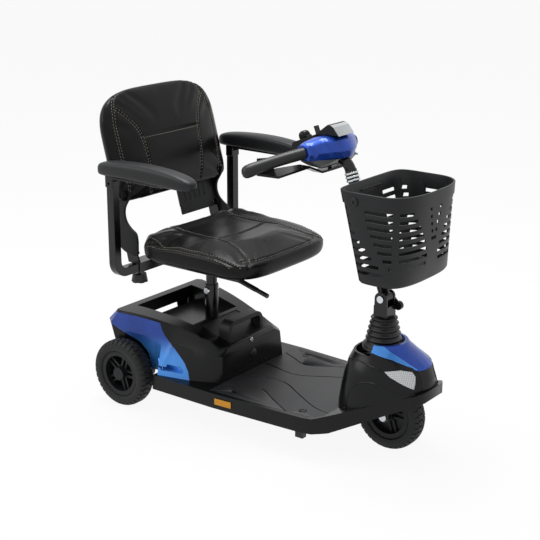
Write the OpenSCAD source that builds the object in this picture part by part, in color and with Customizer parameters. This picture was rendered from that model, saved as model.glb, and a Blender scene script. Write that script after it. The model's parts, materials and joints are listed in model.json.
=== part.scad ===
// Three-wheeled travel mobility scooter: lengths in millimetres, +X forward, +Y to the rider's left, +Z up.
// Every module draws from the rear axle's middle on the ground; from_axle() moves that to the part's origin.

/* [Overall] */
// Length from the back of the rear tyres to the nose
overall_l = 1010; // [1004:1:1020]
// Distance of the nose ahead of the front axle
nose_reach = 130; // [127:1:133]
// Width over the rear tyres
track_w = 500; // [494:1:520]

/* [Wheels] */
// Radius of every road wheel over its tyre
wheel_r = 100; // [97:0.5:101]
// Width of a tyre
tyre_w = 52; // [46:1:53]
// Radius of the tyre's crown in section
crown_r = 45; // [40:1:60]
// Radius on which the tyre seats
rim_r = 67; // [63:1:72]
// Radial depth of the rim's barrel
barrel_d = 13; // [9:1:16]
// Axial width of the rim's barrel
barrel_w = 42; // [36:1:46]
// Radius of the hub
hub_r = 19; // [16:1:22]
// Axial thickness of the spokes
spoke_t = 16; // [12:1:20]
// Width of one spoke
spoke_w = 7; // [5:0.5:9]
// Clear gap between the two spokes of a pair
spoke_gap = 8; // [5:0.5:10]
// Number of spoke pairs
spoke_pairs = 5; // [4:1:6]
// Width and depth of the two grooves round the tread
groove_w = 4; // [3:0.5:6]
// Depth of a tread groove
groove_d = 5; // [3:0.5:7]

/* [Drive] */
// Radius of a rear half shaft
axle_r = 8.5; // [8:0.5:10]
// Radius of the tube round a half shaft
axle_tube_r = 24; // [20:1:25]
// Half length of the gear case across the scooter
gear_case_y = 56; // [48:1:60]
// Radius of the drive motor
motor_r = 34; // [30:1:35]
// Length of the drive motor
motor_l = 140; // [110:1:150]
// Length of the parking brake on the motor
brake_l = 44; // [43:1:48]
// Length of the free-wheel lever
freewheel_l = 62; // [50:1:66]
// Radius of the anti-tip wheels
anti_tip_r = 24; // [20:1:25]
// Width of an anti-tip wheel
anti_tip_w = 18; // [14:1:22]

/* [Frame] */
// Outer size of the square frame tube
rail = 25; // [22:1:26]
// Wall of the square frame tube
rail_wall = 2; // [1.5:0.5:3]
// Half distance between the rear rails' centre lines
rail_y = 100; // [98:1:104]
// Height of the rear rails' centre line
rail_z = 145; // [144:0.5:147]
// Width of the spine under the deck
spine_w = 50; // [40:1:60]
// Radius of the steering head tube
head_tube_r = 27; // [25:1:29]

/* [Deck] */
// Height of the deck's top edge above the ground
deck_z = 116; // [115:0.5:118]
// Height of the deck's side
deck_h = 44; // [38:1:46]
// Half width of the deck at the rear
deck_y = 222; // [218:1:226]
// Half width of the deck at the footwell's front
deck_front_y = 207; // [203:1:212]
// Wall of the deck moulding
deck_wall = 4; // [3:0.5:5]
// Thickness of the deck mat
mat_t = 3; // [2:0.5:4]
// Plain border round the deck mat
mat_border = 14; // [10:1:18]
// Height of the lip's top edge at the nose
nose_z = 206; // [203:1:208]
// Height of the lip's side at the nose
nose_h = 29; // [24:1:34]
// Length of a side reflector
reflector_l = 56; // [45:1:65]
// Height of a side reflector
reflector_h = 18; // [14:1:22]

/* [Front cover] */
// Half width of the front cover at the deck
cover_y = 131; // [128:1:133]
// Reach of the front cover behind the steering axis
cover_back = 100; // [96:1:103]
// Reach of the front cover ahead of the steering axis
cover_front = 157; // [154:1:158]
// Height of the ring under the bellows
cover_top = 284; // [283:0.5:288]
// Wall of the covers
cover_wall = 4; // [3:0.5:5]

/* [Rear cover] */
// Height of the rear cover's top at the back
tail_z = 272; // [268:1:276]
// Height of the rear cover's top at the front
chest_z = 210; // [206:1:214]
// Gap between the rear cover's top edge and the plane of a tyre's inner face
tail_gap = 5; // [4:0.5:8]
// Gap between the rear cover's foot and a tyre's inner face
foot_gap = 14; // [12:1:18]
// Half width of the rear cover's top at the front
chest_y = 121; // [117:1:125]
// Place of the rear cover's front face at the deck
chest_x = 308; // [305:1:309]
// Place of the rear cover's back face
tail_x = -64; // [-68:1:-62]
// Half width of the hand opening behind the seat post
opening_y = 124; // [120:1:128]
// Depth of the bar across the back, a lifting handle
bar_d = 30; // [26:1:32]
// Height of that bar
bar_h = 38; // [30:1:42]
// Height of the inner tray's top
tray_z = 228; // [226:0.5:230]
// Thickness of the inner tray
tray_t = 4; // [3:0.5:6]

/* [Battery] */
// Half width of the battery pack
battery_y = 85; // [80:1:86]
// Length of the battery pack
battery_l = 113; // [106:1:114]
// Height of the battery shelf's top above the ground
shelf_z = 91; // [88:1:95]
// Height of the carrying handle above the pack
battery_handle_h = 46; // [40:1:52]
// Depth of the carrying handle's strap
battery_handle_d = 36; // [28:1:40]
// Thickness of the carrying handle's strap
battery_handle_t = 13; // [10:1:15]

/* [Seat post] */
// Place of the seat post ahead of the rear axle
post_x = 152; // [150:1:153]
// Outer radius of the lower post tube
post_r = 20; // [19:0.5:21]
// Radius of the sliding post
inner_post_r = 16.5; // [15.5:0.5:17]
// Height of the lower tube's top
post_top = 345; // [340:1:350]
// Height of the clamp bolt through the post
post_bolt_z = 328; // [322:1:332]
// Radius of the clamp bolt
post_bolt_r = 5; // [4:0.5:5.5]
// Travel of the seat's height
seat_lift = 50; // [40:1:60]
// Height of the swivel flange's top
swivel_z = 392; // [390:1:396]
// Radius of the swivel spindle
swivel_r = 13; // [12:0.5:14]

/* [Seat] */
// Height of the cushion's underside
cushion_z = 437; // [435:1:442]
// Thickness of the cushion
cushion_t = 94; // [88:1:98]
// Half width of the cushion
cushion_y = 216; // [210:1:220]
// Place of the cushion's back edge
cushion_back = 58; // [56:1:62]
// Place of the cushion's front edge
cushion_front = 446; // [440:1:450]
// Thickness of the seat plate
plate_t = 4; // [3:0.5:5]

/* [Backrest] */
// Height of the backrest hinge
back_hinge_z = 525; // [522:1:530]
// Backward lean of the backrest
back_lean = 15; // [13:1:17]
// Distance from the hinge to the pad's lower edge
back_pad_low = 86; // [82:1:90]
// Distance from the hinge to the pad's upper edge
back_pad_high = 394; // [386:1:398]
// Half width of the backrest pad
back_y = 228; // [222:1:229]
// Thickness of the backrest pad
back_t = 62; // [54:1:64]
// Distance from the hinge line forward to the pad's back
back_offset = 10; // [9:0.5:12]
// Radius of the backrest hinge bolts
back_bolt_r = 5; // [4:0.5:6]

/* [Armrests] */
// Half distance between the armrest uprights
arm_y = 265; // [262:1:268]
// Place of the armrest uprights ahead of the rear axle
arm_x = 21; // [20:0.5:23]
// Outer size of the square armrest tube
arm_tube = 25; // [23:0.5:26]
// Wall of the armrest tube and its receiver
arm_wall = 2.5; // [2:0.5:3]
// Height of the armrest's lower leg
arm_leg_z = 416; // [415:0.5:417]
// Inner radius of the armrest tube's bend
arm_bend_r = 22; // [16:1:26]
// Height of the armrest hinge
arm_hinge_z = 680; // [676:1:684]
// Length of an armrest pad
arm_pad_l = 342; // [334:1:346]
// Width of an armrest pad
arm_pad_w = 56; // [52:1:58]
// Height of an armrest pad
arm_pad_h = 48; // [44:1:50]
// Length of the pad behind its hinge
arm_pad_back = 45; // [42:1:46]
// Outward travel of an armrest
arm_travel = 50; // [40:1:60]
// Radius of a clamp knob
knob_r = 24; // [20:1:26]
// Height of a clamp knob
knob_h = 24; // [20:1:26]

/* [Steering] */
// Distance of the front axle ahead of the steering axis
fork_offset = 30; // [28:1:32]
// Radius of the steering stem
stem_r = 15; // [14:0.5:16]
// Radius of the front axle
front_axle_r = 6; // [5:0.5:7]
// Thickness of a fork leg
fork_t = 6; // [5:0.5:8]
// Height of the fork crown's underside
crown_z = 205; // [204:0.5:206]
// Thickness of the fork crown
crown_t = 10; // [9:0.5:11]
// Thickness of a steering bearing
bearing_t = 8; // [7:0.5:8.5]
// Number of ribs on the bellows
bellows_ribs = 6; // [5:1:8]
// Radius of the bellows at its foot
bellows_foot_r = 56; // [52:1:57]
// Radius of the bellows at its neck
bellows_neck_r = 37; // [34:1:40]
// Height of the bellows
bellows_h = 86; // [80:1:88]

/* [Tiller] */
// Height of the tiller hinge
tiller_z = 425; // [422:1:428]
// Backward lean of the tiller
tiller_lean = 19.8; // [18.5:0.1:20.5]
// Length of the tiller's straight stretch
tiller_l = 345; // [342:1:348]
// Radius of the tiller tube
tiller_r = 15; // [14:0.5:15.5]
// Wall of the tiller tube
tiller_wall = 2.5; // [2:0.5:3]
// Radius of the tiller's bend
tiller_bend_r = 60; // [56:1:64]
// Angle of the tiller's bend
tiller_bend = 35; // [33:0.5:37]
// Radius of the tiller hinge pin
tiller_pin_r = 6; // [5:0.5:7]
// Half width of the tiller's knuckle
knuckle_y = 16; // [14:1:18]
// Radius of the hinge yoke round its pin
yoke_r = 19; // [17:1:20]

/* [Head] */
// Distance of the head's middle behind the steering axis
head_back = 167; // [165:1:169]
// Height of the parting line of the head's two shells
head_z = 788; // [786:1:790]
// Half distance between the grips' inner ends
grip_y = 113; // [111:1:115]
// Length of a grip
grip_l = 170; // [150:1:180]
// Radius of a grip
grip_r = 16; // [14:0.5:17]
// Sweep of the grips towards the rider
grip_sweep = 33; // [31:0.5:35]
// Droop of the grips
grip_droop = 11; // [9:0.5:13]
// Width of the control panel
panel_w = 72; // [68:1:80]
// Radius of the speed dial
dial_r = 16; // [13:1:18]
// Height of the speed dial
dial_h = 22; // [18:1:26]
// Reach of the throttle lever to each side
throttle_y = 190; // [180:1:196]

/* [Basket] */
// Height of the basket's rim
basket_z = 740; // [735:1:745]
// Depth of the basket
basket_h = 238; // [230:1:242]
// Half width of the basket's rim
basket_y = 150; // [146:1:154]
// Half width of the basket's floor
basket_floor_y = 132; // [126:1:136]
// Reach of the rim behind the steering axis
basket_back = 56; // [53:1:58]
// Reach of the rim ahead of the steering axis
basket_front = 136; // [130:1:140]
// Distance of the floor's back ahead of the steering axis
basket_floor_back = 4; // [2:1:8]
// Reach of the floor ahead of the steering axis
basket_floor_front = 118; // [110:1:122]
// Wall of the basket
basket_wall = 3; // [2.5:0.5:4]
// Rows of slots
slot_rows = 9; // [8:1:9]
// Height of a slot
slot_h = 10; // [8:1:12]

/* [Fits] */
// Radial clearance of a running fit
run_gap = 0.05; // [0.02:0.01:0.1]
// Clearance between pieces that seat on each other
seat_gap = 0.3; // [0.2:0.05:0.4]
// Radial clearance of a fixed fit
fit_gap = 0.1; // [0.05:0.05:0.2]

/* [Hidden] */
$fn = 64;

rear_axle_x = wheel_r - overall_l / 2;
nose_x = overall_l - wheel_r;
wheelbase = nose_x - nose_reach;
steer_x = wheelbase - fork_offset;
head_x = steer_x - head_back;
wheel_y = track_w / 2 - tyre_w / 2;
wheel_in = track_w / 2 - tyre_w;
tail_y = wheel_in - tail_gap;
hub_l = barrel_w + 8;
rail_low = rail_z - rail / 2;
rail_high = rail_z + rail / 2;
far = 2000;

// Colours of the finishes
BLACK = "#1b1b1d";
GREY = "#3a3b3d";
BLUE = "#2438b0";
STEEL = "#c4c6c8";
RUBBER = "#151516";
VINYL = "#101011";

module from_axle() translate([rear_axle_x, 0, 0]) children();

// The left-hand form for side 1, its mirror image for side -1
module on_side(side) {
  if (side > 0) children();
  else mirror([0, 1, 0]) children();
}

// A bar of square section along X, Y or Z between two corners
module block(low, high) translate(low) cube(high - low);

// A side view drawn in X and Z, drawn out across the scooter between two values of Y
module across(y0, y1) translate([0, y1, 0]) rotate([90, 0, 0]) linear_extrude(y1 - y0) children();

// A round rod along Y
module rod(x, y0, y1, z, r) translate([x, y0, z]) rotate([-90, 0, 0]) cylinder(r = r, h = y1 - y0);

// The right half of an outline, closed by its mirror image
function closed(half) = concat(half, [for (i = [len(half) - 1 : -1 : 0])
  [half[i].x, -half[i].y, half[i].z]]);

function power(v, e) = (v < 0 ? -1 : 1) * pow(abs(v), e);

// Right half of an egg-shaped outline at one height, from its back to its front
function egg(x, back, front, y, z, square_back, square_front, steps) = [
  for (k = [0 : steps - 1])
    let (a = 180 + (k + 0.5) * 180 / steps, e = 2 / (cos(a) < 0 ? square_back : square_front))
      [x + (cos(a) < 0 ? back : front) * power(cos(a), e), y * power(sin(a), e), z]
];

// A closed skin over a stack of outlines with equally many points
module skin(rows) {
  n = len(rows[0]);
  last = (len(rows) - 1) * n;
  sides = [
    for (j = [0 : len(rows) - 2]) for (i = [0 : n - 1])
      let (a = j * n + i, b = j * n + (i + 1) % n) each [[a, b + n, b], [a, a + n, b + n]]
  ];
  ends = [
    for (i = [0 : n / 2 - 2])
      let (a = i, b = i + 1, c = n - 2 - i, d = n - 1 - i)
        each [[a, b, c], [a, c, d], [last + c, last + b, last + a], [last + d, last + c, last + a]]
  ];
  polyhedron([for (row = rows) for (p = row) p],
    concat(sides, [for (f = ends) if (f[0] != f[1] && f[1] != f[2]) f]));
}

function bezier(p0, p1, p2, p3, steps) = [
  for (k = [0 : steps]) let (t = k / steps, s = 1 - t)
    s * s * s * p0 + 3 * s * s * t * p1 + 3 * s * t * t * p2 + t * t * t * p3
];

// Wheels, drawn round +Z with the outer face upwards

module tyre_form() {
  rotate_extrude($fn = 96) difference() {
    intersection() {
      translate([wheel_r - crown_r, 0]) circle(crown_r);
      translate([rim_r + fit_gap, -tyre_w / 2]) square([wheel_r, tyre_w]);
    }
    for (s = [-1, 1]) translate([wheel_r - groove_d, s * tyre_w / 5 - groove_w / 2])
      square([groove_d * 2, groove_w]);
  }
}

module rim_form(bore_r, capped) {
  pitch = 360 / spoke_pairs;
  reach = rim_r - barrel_d / 2;
  difference() {
    union() {
      rotate_extrude() translate([rim_r - barrel_d, -barrel_w / 2]) square([barrel_d, barrel_w]);
      translate([0, 0, -hub_l / 2]) cylinder(r = hub_r, h = hub_l);
      for (i = [0 : spoke_pairs - 1]) rotate(i * pitch) for (s = [-1, 1])
        translate([0, s * (spoke_gap + spoke_w) / 2 - spoke_w / 2, -spoke_t / 2])
          cube([reach, spoke_w, spoke_t]);
    }
    translate([0, 0, -hub_l]) cylinder(r = bore_r, h = capped ? hub_l * 1.5 - 4 : 3 * hub_l);
  }
}

module at_rear_wheel(side) from_axle() on_side(side) translate([0, wheel_y, wheel_r]) rotate([-90, 0, 0])
  children();
module at_front_wheel() from_axle() translate([wheelbase, 0, wheel_r]) rotate([-90, 0, 0]) children();

module rear_tyre(side) color(RUBBER) at_rear_wheel(side) tyre_form();
module rear_rim(side) color(GREY) at_rear_wheel(side) rim_form(axle_r + fit_gap, true);
module front_tyre() color(RUBBER) at_front_wheel() tyre_form();
module front_rim() color(GREY) at_front_wheel() rim_form(front_axle_r + run_gap, false);

shaft_in = 30;
module rear_axle(side) color(STEEL) from_axle() on_side(side)
  rod(0, shaft_in, wheel_y + hub_l / 2 - 4 - seat_gap, wheel_r, axle_r);

// Drive

bearing_y = wheel_y - hub_l / 2 - bearing_t - 1;
bearing_r = head_tube_r + 2;
module chassis_bearings() color(STEEL) from_axle() {
  for (s = [-1, 1]) on_side(s) difference() {
    rod(0, bearing_y + seat_gap, bearing_y + bearing_t, wheel_r, axle_tube_r - 2);
    rod(0, 0, far, wheel_r, axle_r + run_gap);
  }
  for (z = [head_low - bearing_t, head_high]) difference() {
    translate([steer_x, 0, z + seat_gap]) cylinder(r = bearing_r, h = bearing_t - 2 * seat_gap);
    translate([steer_x, 0, 0]) cylinder(r = stem_r + run_gap, h = far);
  }
}

gear_case_back = -30;
gear_case_front = 50;
gear_case_high = 150;
gear_r = gear_case_high - wheel_r - 8;
module transaxle() color(GREY) from_axle() difference() {
  union() {
    rod(0, -bearing_y, bearing_y, wheel_r, axle_tube_r);
    rod(0, -gear_case_y, gear_case_y, wheel_r, gear_r);
    block([gear_case_back, -gear_case_y, wheel_r - 30], [gear_case_front, gear_case_y, gear_case_high]);
  }
  rod(0, -far, far, wheel_r, axle_r + seat_gap);
}

motor_x = gear_case_front + seat_gap + motor_r;
motor_z = wheel_r - 3;
module drive_motor() color(BLACK) from_axle() {
  rod(motor_x, -motor_l / 2, motor_l / 2, motor_z, motor_r);
  rod(motor_x, -motor_l / 2 - brake_l, -motor_l / 2, motor_z, motor_r - 5);
  rod(motor_x, -motor_l / 2 - brake_l - 12, -motor_l / 2, motor_z, 6);
}

lever_t = 6;
lever_y = motor_l / 2 + brake_l + seat_gap;
module freewheel_lever() color("#b02a24") from_axle() difference() {
  union() {
    rod(motor_x, -lever_y - lever_t, -lever_y, motor_z, 14);
    block([motor_x - 6, -lever_y - lever_t, motor_z], [motor_x + 6, -lever_y, motor_z + freewheel_l]);
    rod(motor_x, -lever_y - lever_t - 8, -lever_y, motor_z + freewheel_l, 8);
  }
  rod(motor_x, -far, 0, motor_z, 6 + run_gap);
}

module controller() color(GREY) from_axle()
  block([gear_case_back + 2, -gear_case_y + 2, gear_case_high + seat_gap],
    [gear_case_front - 4, gear_case_y - 2, 192]);

// Frame

cross_back = -58;
anti_tip_x = -72;
anti_tip_z = anti_tip_r + 10;
anti_tip_pin_r = 5;
arm_gap = 30;
module anti_tip_bracket() color(BLACK) from_axle() for (s = [-1, 1]) on_side(s) difference() {
  across(arm_gap, arm_gap + 4) union() {
    translate([anti_tip_x, anti_tip_z]) circle(11);
    polygon([[anti_tip_x - 11, anti_tip_z], [anti_tip_x + 11, anti_tip_z],
      [-gear_r - 2, rail_low - seat_gap],
      [cross_back, rail_low - seat_gap]]);
  }
  rod(anti_tip_x, -far, far, anti_tip_z, anti_tip_pin_r + run_gap);
}

module anti_tip_wheels() color(GREY) from_axle() {
  rod(anti_tip_x, -arm_gap - 5 - anti_tip_w, arm_gap + 5 + anti_tip_w, anti_tip_z, anti_tip_pin_r);
  for (s = [-1, 1]) on_side(s) rod(anti_tip_x, arm_gap + 5, arm_gap + 5 + anti_tip_w, anti_tip_z,
    anti_tip_r);
}

// A square tube between two corners, hollow along the given axis
module tube_bar(low, high, axis) difference() {
  block(low, high);
  block([for (i = [0 : 2]) i == axis ? low[i] - 1 : low[i] + rail_wall],
    [for (i = [0 : 2]) i == axis ? high[i] + 1 : high[i] - rail_wall]);
}

rails_front = 292;
shelf_t = 5;
shelf_back = post_x + post_r + 4 - seat_gap;
module rear_frame() color(BLACK) from_axle() difference() {
  union() {
    for (s = [-1, 1]) on_side(s) {
      tube_bar([cross_back, rail_y - rail / 2, rail_low], [rails_front, rail_y + rail / 2, rail_high], 0);
      block([-16, rail_y - 9, wheel_r + axle_tube_r - 8], [16, rail_y + 9, rail_low + 1]);
      block([shelf_back, rail_y - 8, shelf_z - shelf_t], [rails_front, rail_y - 4, rail_low + 1]);
    }
    for (x = [cross_back, post_x - rail / 2])
      tube_bar([x, -rail_y, rail_low], [x + rail, rail_y, rail_high], 1);
    block([shelf_back, -rail_y + 4, shelf_z - shelf_t], [rails_front, rail_y - 4, shelf_z]);
    block([rails_front, -rail_y - rail / 2, shelf_z - shelf_t],
      [rails_front + 6, rail_y + rail / 2, rail_high]);
  }
  rod(0, -far, far, wheel_r, axle_tube_r + seat_gap);
}

spine_back = rails_front + 6 + seat_gap;
spine_front = wheelbase - wheel_r - 8;
neck_t = 12;
lip_x = steer_x - cover_back + 4;
spine_high = deck_z - mat_t - deck_wall - seat_gap;
spine_low = deck_z - deck_h + 4;
head_low = crown_z + crown_t + bearing_t;
head_high = cover_top - cover_wall - bearing_t - 1;
foot_x = lip_x - 54;
foot_y = deck_front_y - 12;
module front_frame() color(BLACK) from_axle() difference() {
  union() {
    tube_bar([spine_back, -spine_w / 2, spine_low], [spine_front, spine_w / 2, spine_high], 0);
    block([foot_x, -foot_y, spine_low], [foot_x + rail, foot_y, spine_high - 2]);
    for (s = [-1, 1]) on_side(s) block([foot_x, foot_y - 18, spine_low - 26],
      [foot_x + rail, foot_y, spine_low]);
    across(-spine_w / 2 + 2, spine_w / 2 - 2) polygon([
      [spine_front - neck_t, spine_low], [spine_front, spine_low], [spine_front, wheel_r + 50],
      [steer_x - 54, crown_z], [steer_x - 52, head_low], [steer_x, head_low], [steer_x, head_high - 2],
      [steer_x - 60, head_high - 9], [spine_front - neck_t, wheel_r + 60]
    ]);
    translate([steer_x, 0, head_low]) cylinder(r = head_tube_r, h = head_high - head_low);
  }
  translate([steer_x, 0, head_low - 1]) cylinder(r = stem_r + 2, h = far);
}

// Deck

sweep_x = lip_x - 56;
function deck_half(inset) = concat(
  [[110 + inset, -deck_y + inset], [330, -deck_y + inset]],
  bezier([sweep_x, -deck_front_y + inset], [sweep_x + 104, -deck_front_y + inset],
    [steer_x + 10, -118 + inset], [nose_x - 14, -70 + inset * 0.6], 10),
  [[nose_x - inset, -46 + inset * 0.5]]
);
module deck_plan(inset) polygon(concat(deck_half(inset),
  [for (i = [len(deck_half(inset)) - 1 : -1 : 0]) [deck_half(inset)[i].x, -deck_half(inset)[i].y]]));

deck_low = deck_z - deck_h;
// Side view of the deck between its underside and a line set down from its top
module deck_side(top_down) polygon([
  [0, deck_low], [lip_x, deck_low], [lip_x + 42, deck_low + 8], [nose_x, nose_z - nose_h],
    [nose_x + 50, nose_z - nose_h + 24],
  [nose_x + 50, nose_z + 18 - top_down], [nose_x, nose_z - top_down], [lip_x, deck_z - top_down],
    [0, deck_z - top_down]
]);
// Everything below the deck's top line
module under_deck(lift) across(-far / 2, far / 2) polygon([
  [0, -far], [nose_x + 200, -far], [nose_x + 200,
    nose_z + 200 * (nose_z - deck_z) / (nose_x - lip_x) + lift],
  [lip_x, deck_z + lift], [0, deck_z + lift]
]);

mat_back = chest_x + 4;
shroud_r = 186;
module mat_plan(grow) difference() {
  intersection() {
    deck_plan(mat_border - grow);
    translate([mat_back - grow, -far / 2]) square([lip_x + 26 - mat_back + grow, far]);
  }
  translate([steer_x - cover_back + shroud_r - 8 + grow, 0]) circle(shroud_r);
}

notch_y = 140;
notch_x = mat_back - 14;
well_y = 113;
well_wall = 6;
well_back = lip_x;
// The well stays under the front cover, whose rim stands on the lip round it
well_rim = 8;
module well_plan() polygon([
  for (p = closed(egg(steer_x, cover_back, cover_front - well_rim, cover_y - well_rim, 0, 2.6, 2, 14)))
    [p.x, p.y]
]);
module deck_pan() color(BLACK) from_axle() difference() {
  intersection() {
    linear_extrude(far) deck_plan(0);
    across(-far / 2, far / 2) deck_side(0);
  }
  intersection() {
    translate([0, 0, -1]) linear_extrude(far) deck_plan(deck_wall);
    block([0, -far, -1], [lip_x + 42, far, deck_z - mat_t - deck_wall]);
  }
  translate([0, 0, deck_z - mat_t]) linear_extrude(far) mat_plan(seat_gap);
  block([0, -notch_y, 0], [notch_x, notch_y, far]);
  intersection() {
    linear_extrude(far) deck_plan(well_wall);
    linear_extrude(far) well_plan();
    block([well_back, -well_y, 0], [nose_x, well_y, far]);
  }
}

module deck_mat() color(GREY) from_axle() translate([0, 0, deck_z - mat_t]) linear_extrude(mat_t)
  mat_plan(0);

reflector_x = 371;
taper = atan((deck_y - deck_front_y) / (sweep_x - 330));
reflector_t = 3;
module side_reflectors() color("#d98a10") from_axle() for (s = [-1, 1]) on_side(s)
  translate([330, deck_y + seat_gap, deck_z - 12 - reflector_h]) rotate(-taper)
    translate([reflector_x - 330 - reflector_l / 2, 0, 0]) cube([reflector_l, reflector_t, reflector_h]);

// Front cover: rows of height, reach ahead of and behind the steering axis, and half width

cover_rows = [
  [deck_z - 6, cover_front - 6, cover_back, cover_y],
  [152, cover_front, cover_back - 2, cover_y - 3],
  [190, cover_front + 1, cover_back - 7, cover_y - 9],
  [226, cover_front - 5, cover_back - 13, cover_y - 17],
  [262, cover_front - 18, cover_back - 22, cover_y - 29],
  [cover_top, cover_front - 56, cover_back - 30, cover_y - 48],
  [cover_top + 16, cover_front - 82, cover_back - 34, cover_y - 60],
  [cover_top + 26, cover_front - 90, cover_back - 36, cover_y - 66]
];
module cover_form(t) skin([
  for (r = cover_rows) closed(egg(steer_x, r[2] - t, r[1] - t, r[3] - t, r[0] - t, 2.6, 2, 14))
]);

cap_back = 9;
module cap_region(grow) across(-far / 2, far / 2) polygon([
  [steer_x + cap_back - grow, cover_top + 9 - grow], [steer_x + 67, cover_top - 2 - grow],
  [steer_x + 117, cover_top - 18 - grow], [steer_x + 134, cover_top - 27 - grow],
  [nose_x + 60, cover_top - 29 - grow], [nose_x + 60, cover_top + 90],
  [steer_x + cap_back - grow, cover_top + 90]
]);
lens_y = 40;
module lens_region(grow) for (s = [-1, 1]) on_side(s) across(lens_y, far / 2) polygon([
  [steer_x + 61 - 2 * grow, cover_top - 27], [steer_x + 98, cover_top - 21 + grow],
  [steer_x + 121 + grow, cover_top - 26 + grow], [steer_x + 129 + grow, cover_top - 38],
  [steer_x + 133 + grow, cover_top - 56], [steer_x + 133 + grow, cover_top - 71 - 2 * grow],
  [steer_x + 105, cover_top - 54 - grow], [steer_x + 77 - grow, cover_top - 39 - grow]
]);

module cover_shell() difference() {
  cover_form(0);
  cover_form(cover_wall);
  under_deck(seat_gap);
  translate([steer_x, 0, cover_top]) cylinder(r = bellows_foot_r + 2, h = far);
  translate([steer_x, 0, 0]) cylinder(r = bearing_r + 3, h = far);
}
module front_cover() color(BLACK) from_axle() difference() {
  cover_shell();
  cap_region(seat_gap);
  lens_region(seat_gap);
  block([0, -far / 2, cover_top], [steer_x + cap_back, far / 2, far]);
}
module front_cap() color(BLUE) from_axle() intersection() {
  cover_shell();
  cap_region(0);
}
module front_lenses() color("#e8eaec") from_axle() intersection() {
  cover_shell();
  lens_region(0);
}

// Rear cover: rows of stations from the back to the front

stations = [tail_x, tail_x + 14, -10, 40, 80, 98, 122, 160, 200, 224, 260, chest_x - 16, chest_x];
function chest_round(x) = x == tail_x || x == chest_x ? 12 : 0;
tail_drop = (tail_z - chest_z) / pow(chest_x - tail_x, 2);
function top_z(x) = tail_z - tail_drop * pow(x - tail_x, 2);
// Reach of the tail's crease behind its upper edge
prow = 26;
function crease_z(x) = lookup(x, [[tail_x, 237], [-10, 214], [150, 206], [chest_x, chest_z - 20]]);
function foot_w(x) = lookup(x, [
  [tail_x, wheel_in - foot_gap], [wheel_r - 2, wheel_in - foot_gap], [wheel_r + 22, deck_y - 8],
  [224, 190], [chest_x, chest_y + 34]
]);
function crease_w(x) = lookup(x, [[tail_x, tail_y + 4], [chest_x, chest_y + 28]]);
function top_w(x) = lookup(x, [[tail_x, tail_y], [chest_x, chest_y]]);
// Place along the cover drawn in by the wall and by the lean of the front and back faces
function drawn(x, t, front, back) =
  tail_x + back + t + (x - tail_x) * (chest_x - front - tail_x - back - 2 * t) / (chest_x - tail_x);
function tail_row(t, front, back, w, z) = closed([
  for (x = stations) [drawn(x, t, front, back), -(w(x) - chest_round(x) - t), z(x)]
]);
module tail_form(t, floor_z) skin([
  tail_row(t, 0, 0, function(x) foot_w(x), function(x) floor_z),
  tail_row(t, 5, -prow, function(x) crease_w(x), function(x) crease_z(x) - t / 2),
  tail_row(t, 8, 2, function(x) top_w(x) + 3, function(x) top_z(x) - 6 - t),
  tail_row(t, 11, 5, function(x) top_w(x) - 3, function(x) top_z(x) - t)
]);

opening_front = post_x + 12;
battery_back = post_x + post_r + 4;
battery_front = battery_back + battery_l;
module opening_plan(grow) polygon([
  [tail_x + bar_d - grow, -opening_y - grow], [opening_front + grow, -opening_y + 22 - grow],
  [opening_front + grow, opening_y - 22 + grow], [tail_x + bar_d - grow, opening_y + grow]
]);
tray_back = tail_x + bar_d + 18;
ring_z = rail_high + 40;
cover_floor = deck_z + seat_gap;
panel_in = opening_y + 12;
module panel_region(grow) across(-far / 2, far / 2) polygon(concat(
  [[tail_x - 2 * prow, 244 - grow], [tail_x - prow, 233 - grow], [-49, 215 - grow], [-9, 201 - grow],
    [31, 188 - grow], [60, 160 - grow], [78, cover_floor - 1]],
  bezier([224 + grow, cover_floor - 1], [205 + grow, 185], [104 + grow, 200],
    [94 + grow, top_z(94) - 6 + grow], 8),
  [for (x = [80 : -36 : tail_x - 36]) [x, top_z(max(x, tail_x)) - 6 + grow]],
  [[tail_x - 2 * prow, top_z(tail_x) - 6 + grow]]
));
module tail_shell() difference() {
  tail_form(0, cover_floor);
  difference() {
    tail_form(cover_wall, cover_floor - 1);
    translate([0, 0, ring_z]) linear_extrude(far) opening_plan(cover_wall);
    block([tail_x - prow, -opening_y - 10, tail_z - bar_h], [tail_x + bar_d, opening_y + 10, far]);
  }
  block([-far, -opening_y + 14, 0], [tail_x + bar_d, opening_y - 14, tail_z - bar_h]);
  rod(0, -far, far, wheel_r, axle_tube_r + 2);
}
module rear_cover() color(BLACK) from_axle() difference() {
  union() {
    difference() {
      tail_shell();
      for (s = [-1, 1]) on_side(s) intersection() {
        panel_region(seat_gap);
        block([-far, panel_in, 0], [far, far, far]);
      }
      translate([0, 0, rail_high]) linear_extrude(far) opening_plan(0);
    }
    intersection() {
      translate([0, 0, tray_z - tray_t]) linear_extrude(tray_t) opening_plan(1);
      block([tray_back, -far, 0], [far, far, far]);
    }
  }
  translate([post_x, 0, 0]) cylinder(r = post_r + seat_gap, h = far);
  block([battery_back - seat_gap, -battery_y - seat_gap, 0],
    [battery_front + seat_gap, battery_y + seat_gap, far]);
}
module side_panel(side) color(BLUE) from_axle() intersection() {
  tail_shell();
  panel_region(0);
  on_side(side) block([-far, panel_in + seat_gap, 0], [far, far, far]);
}

// Battery pack: a case under a strap handle

cell_wall = 4;
battery_low = shelf_z + seat_gap;
function battery_top(x) = top_z(x) - 3;
module battery_side(inset) polygon(concat(
  [[battery_back + inset, battery_low + inset], [battery_front - inset, battery_low + inset]],
  [for (x = [battery_front - inset, battery_front - battery_l / 2, battery_back + inset])
    [x, battery_top(x) - inset]]
));
strap_x = battery_front - battery_handle_d - 8;
strap_z = battery_top(strap_x);
strap_r = 30;
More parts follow.
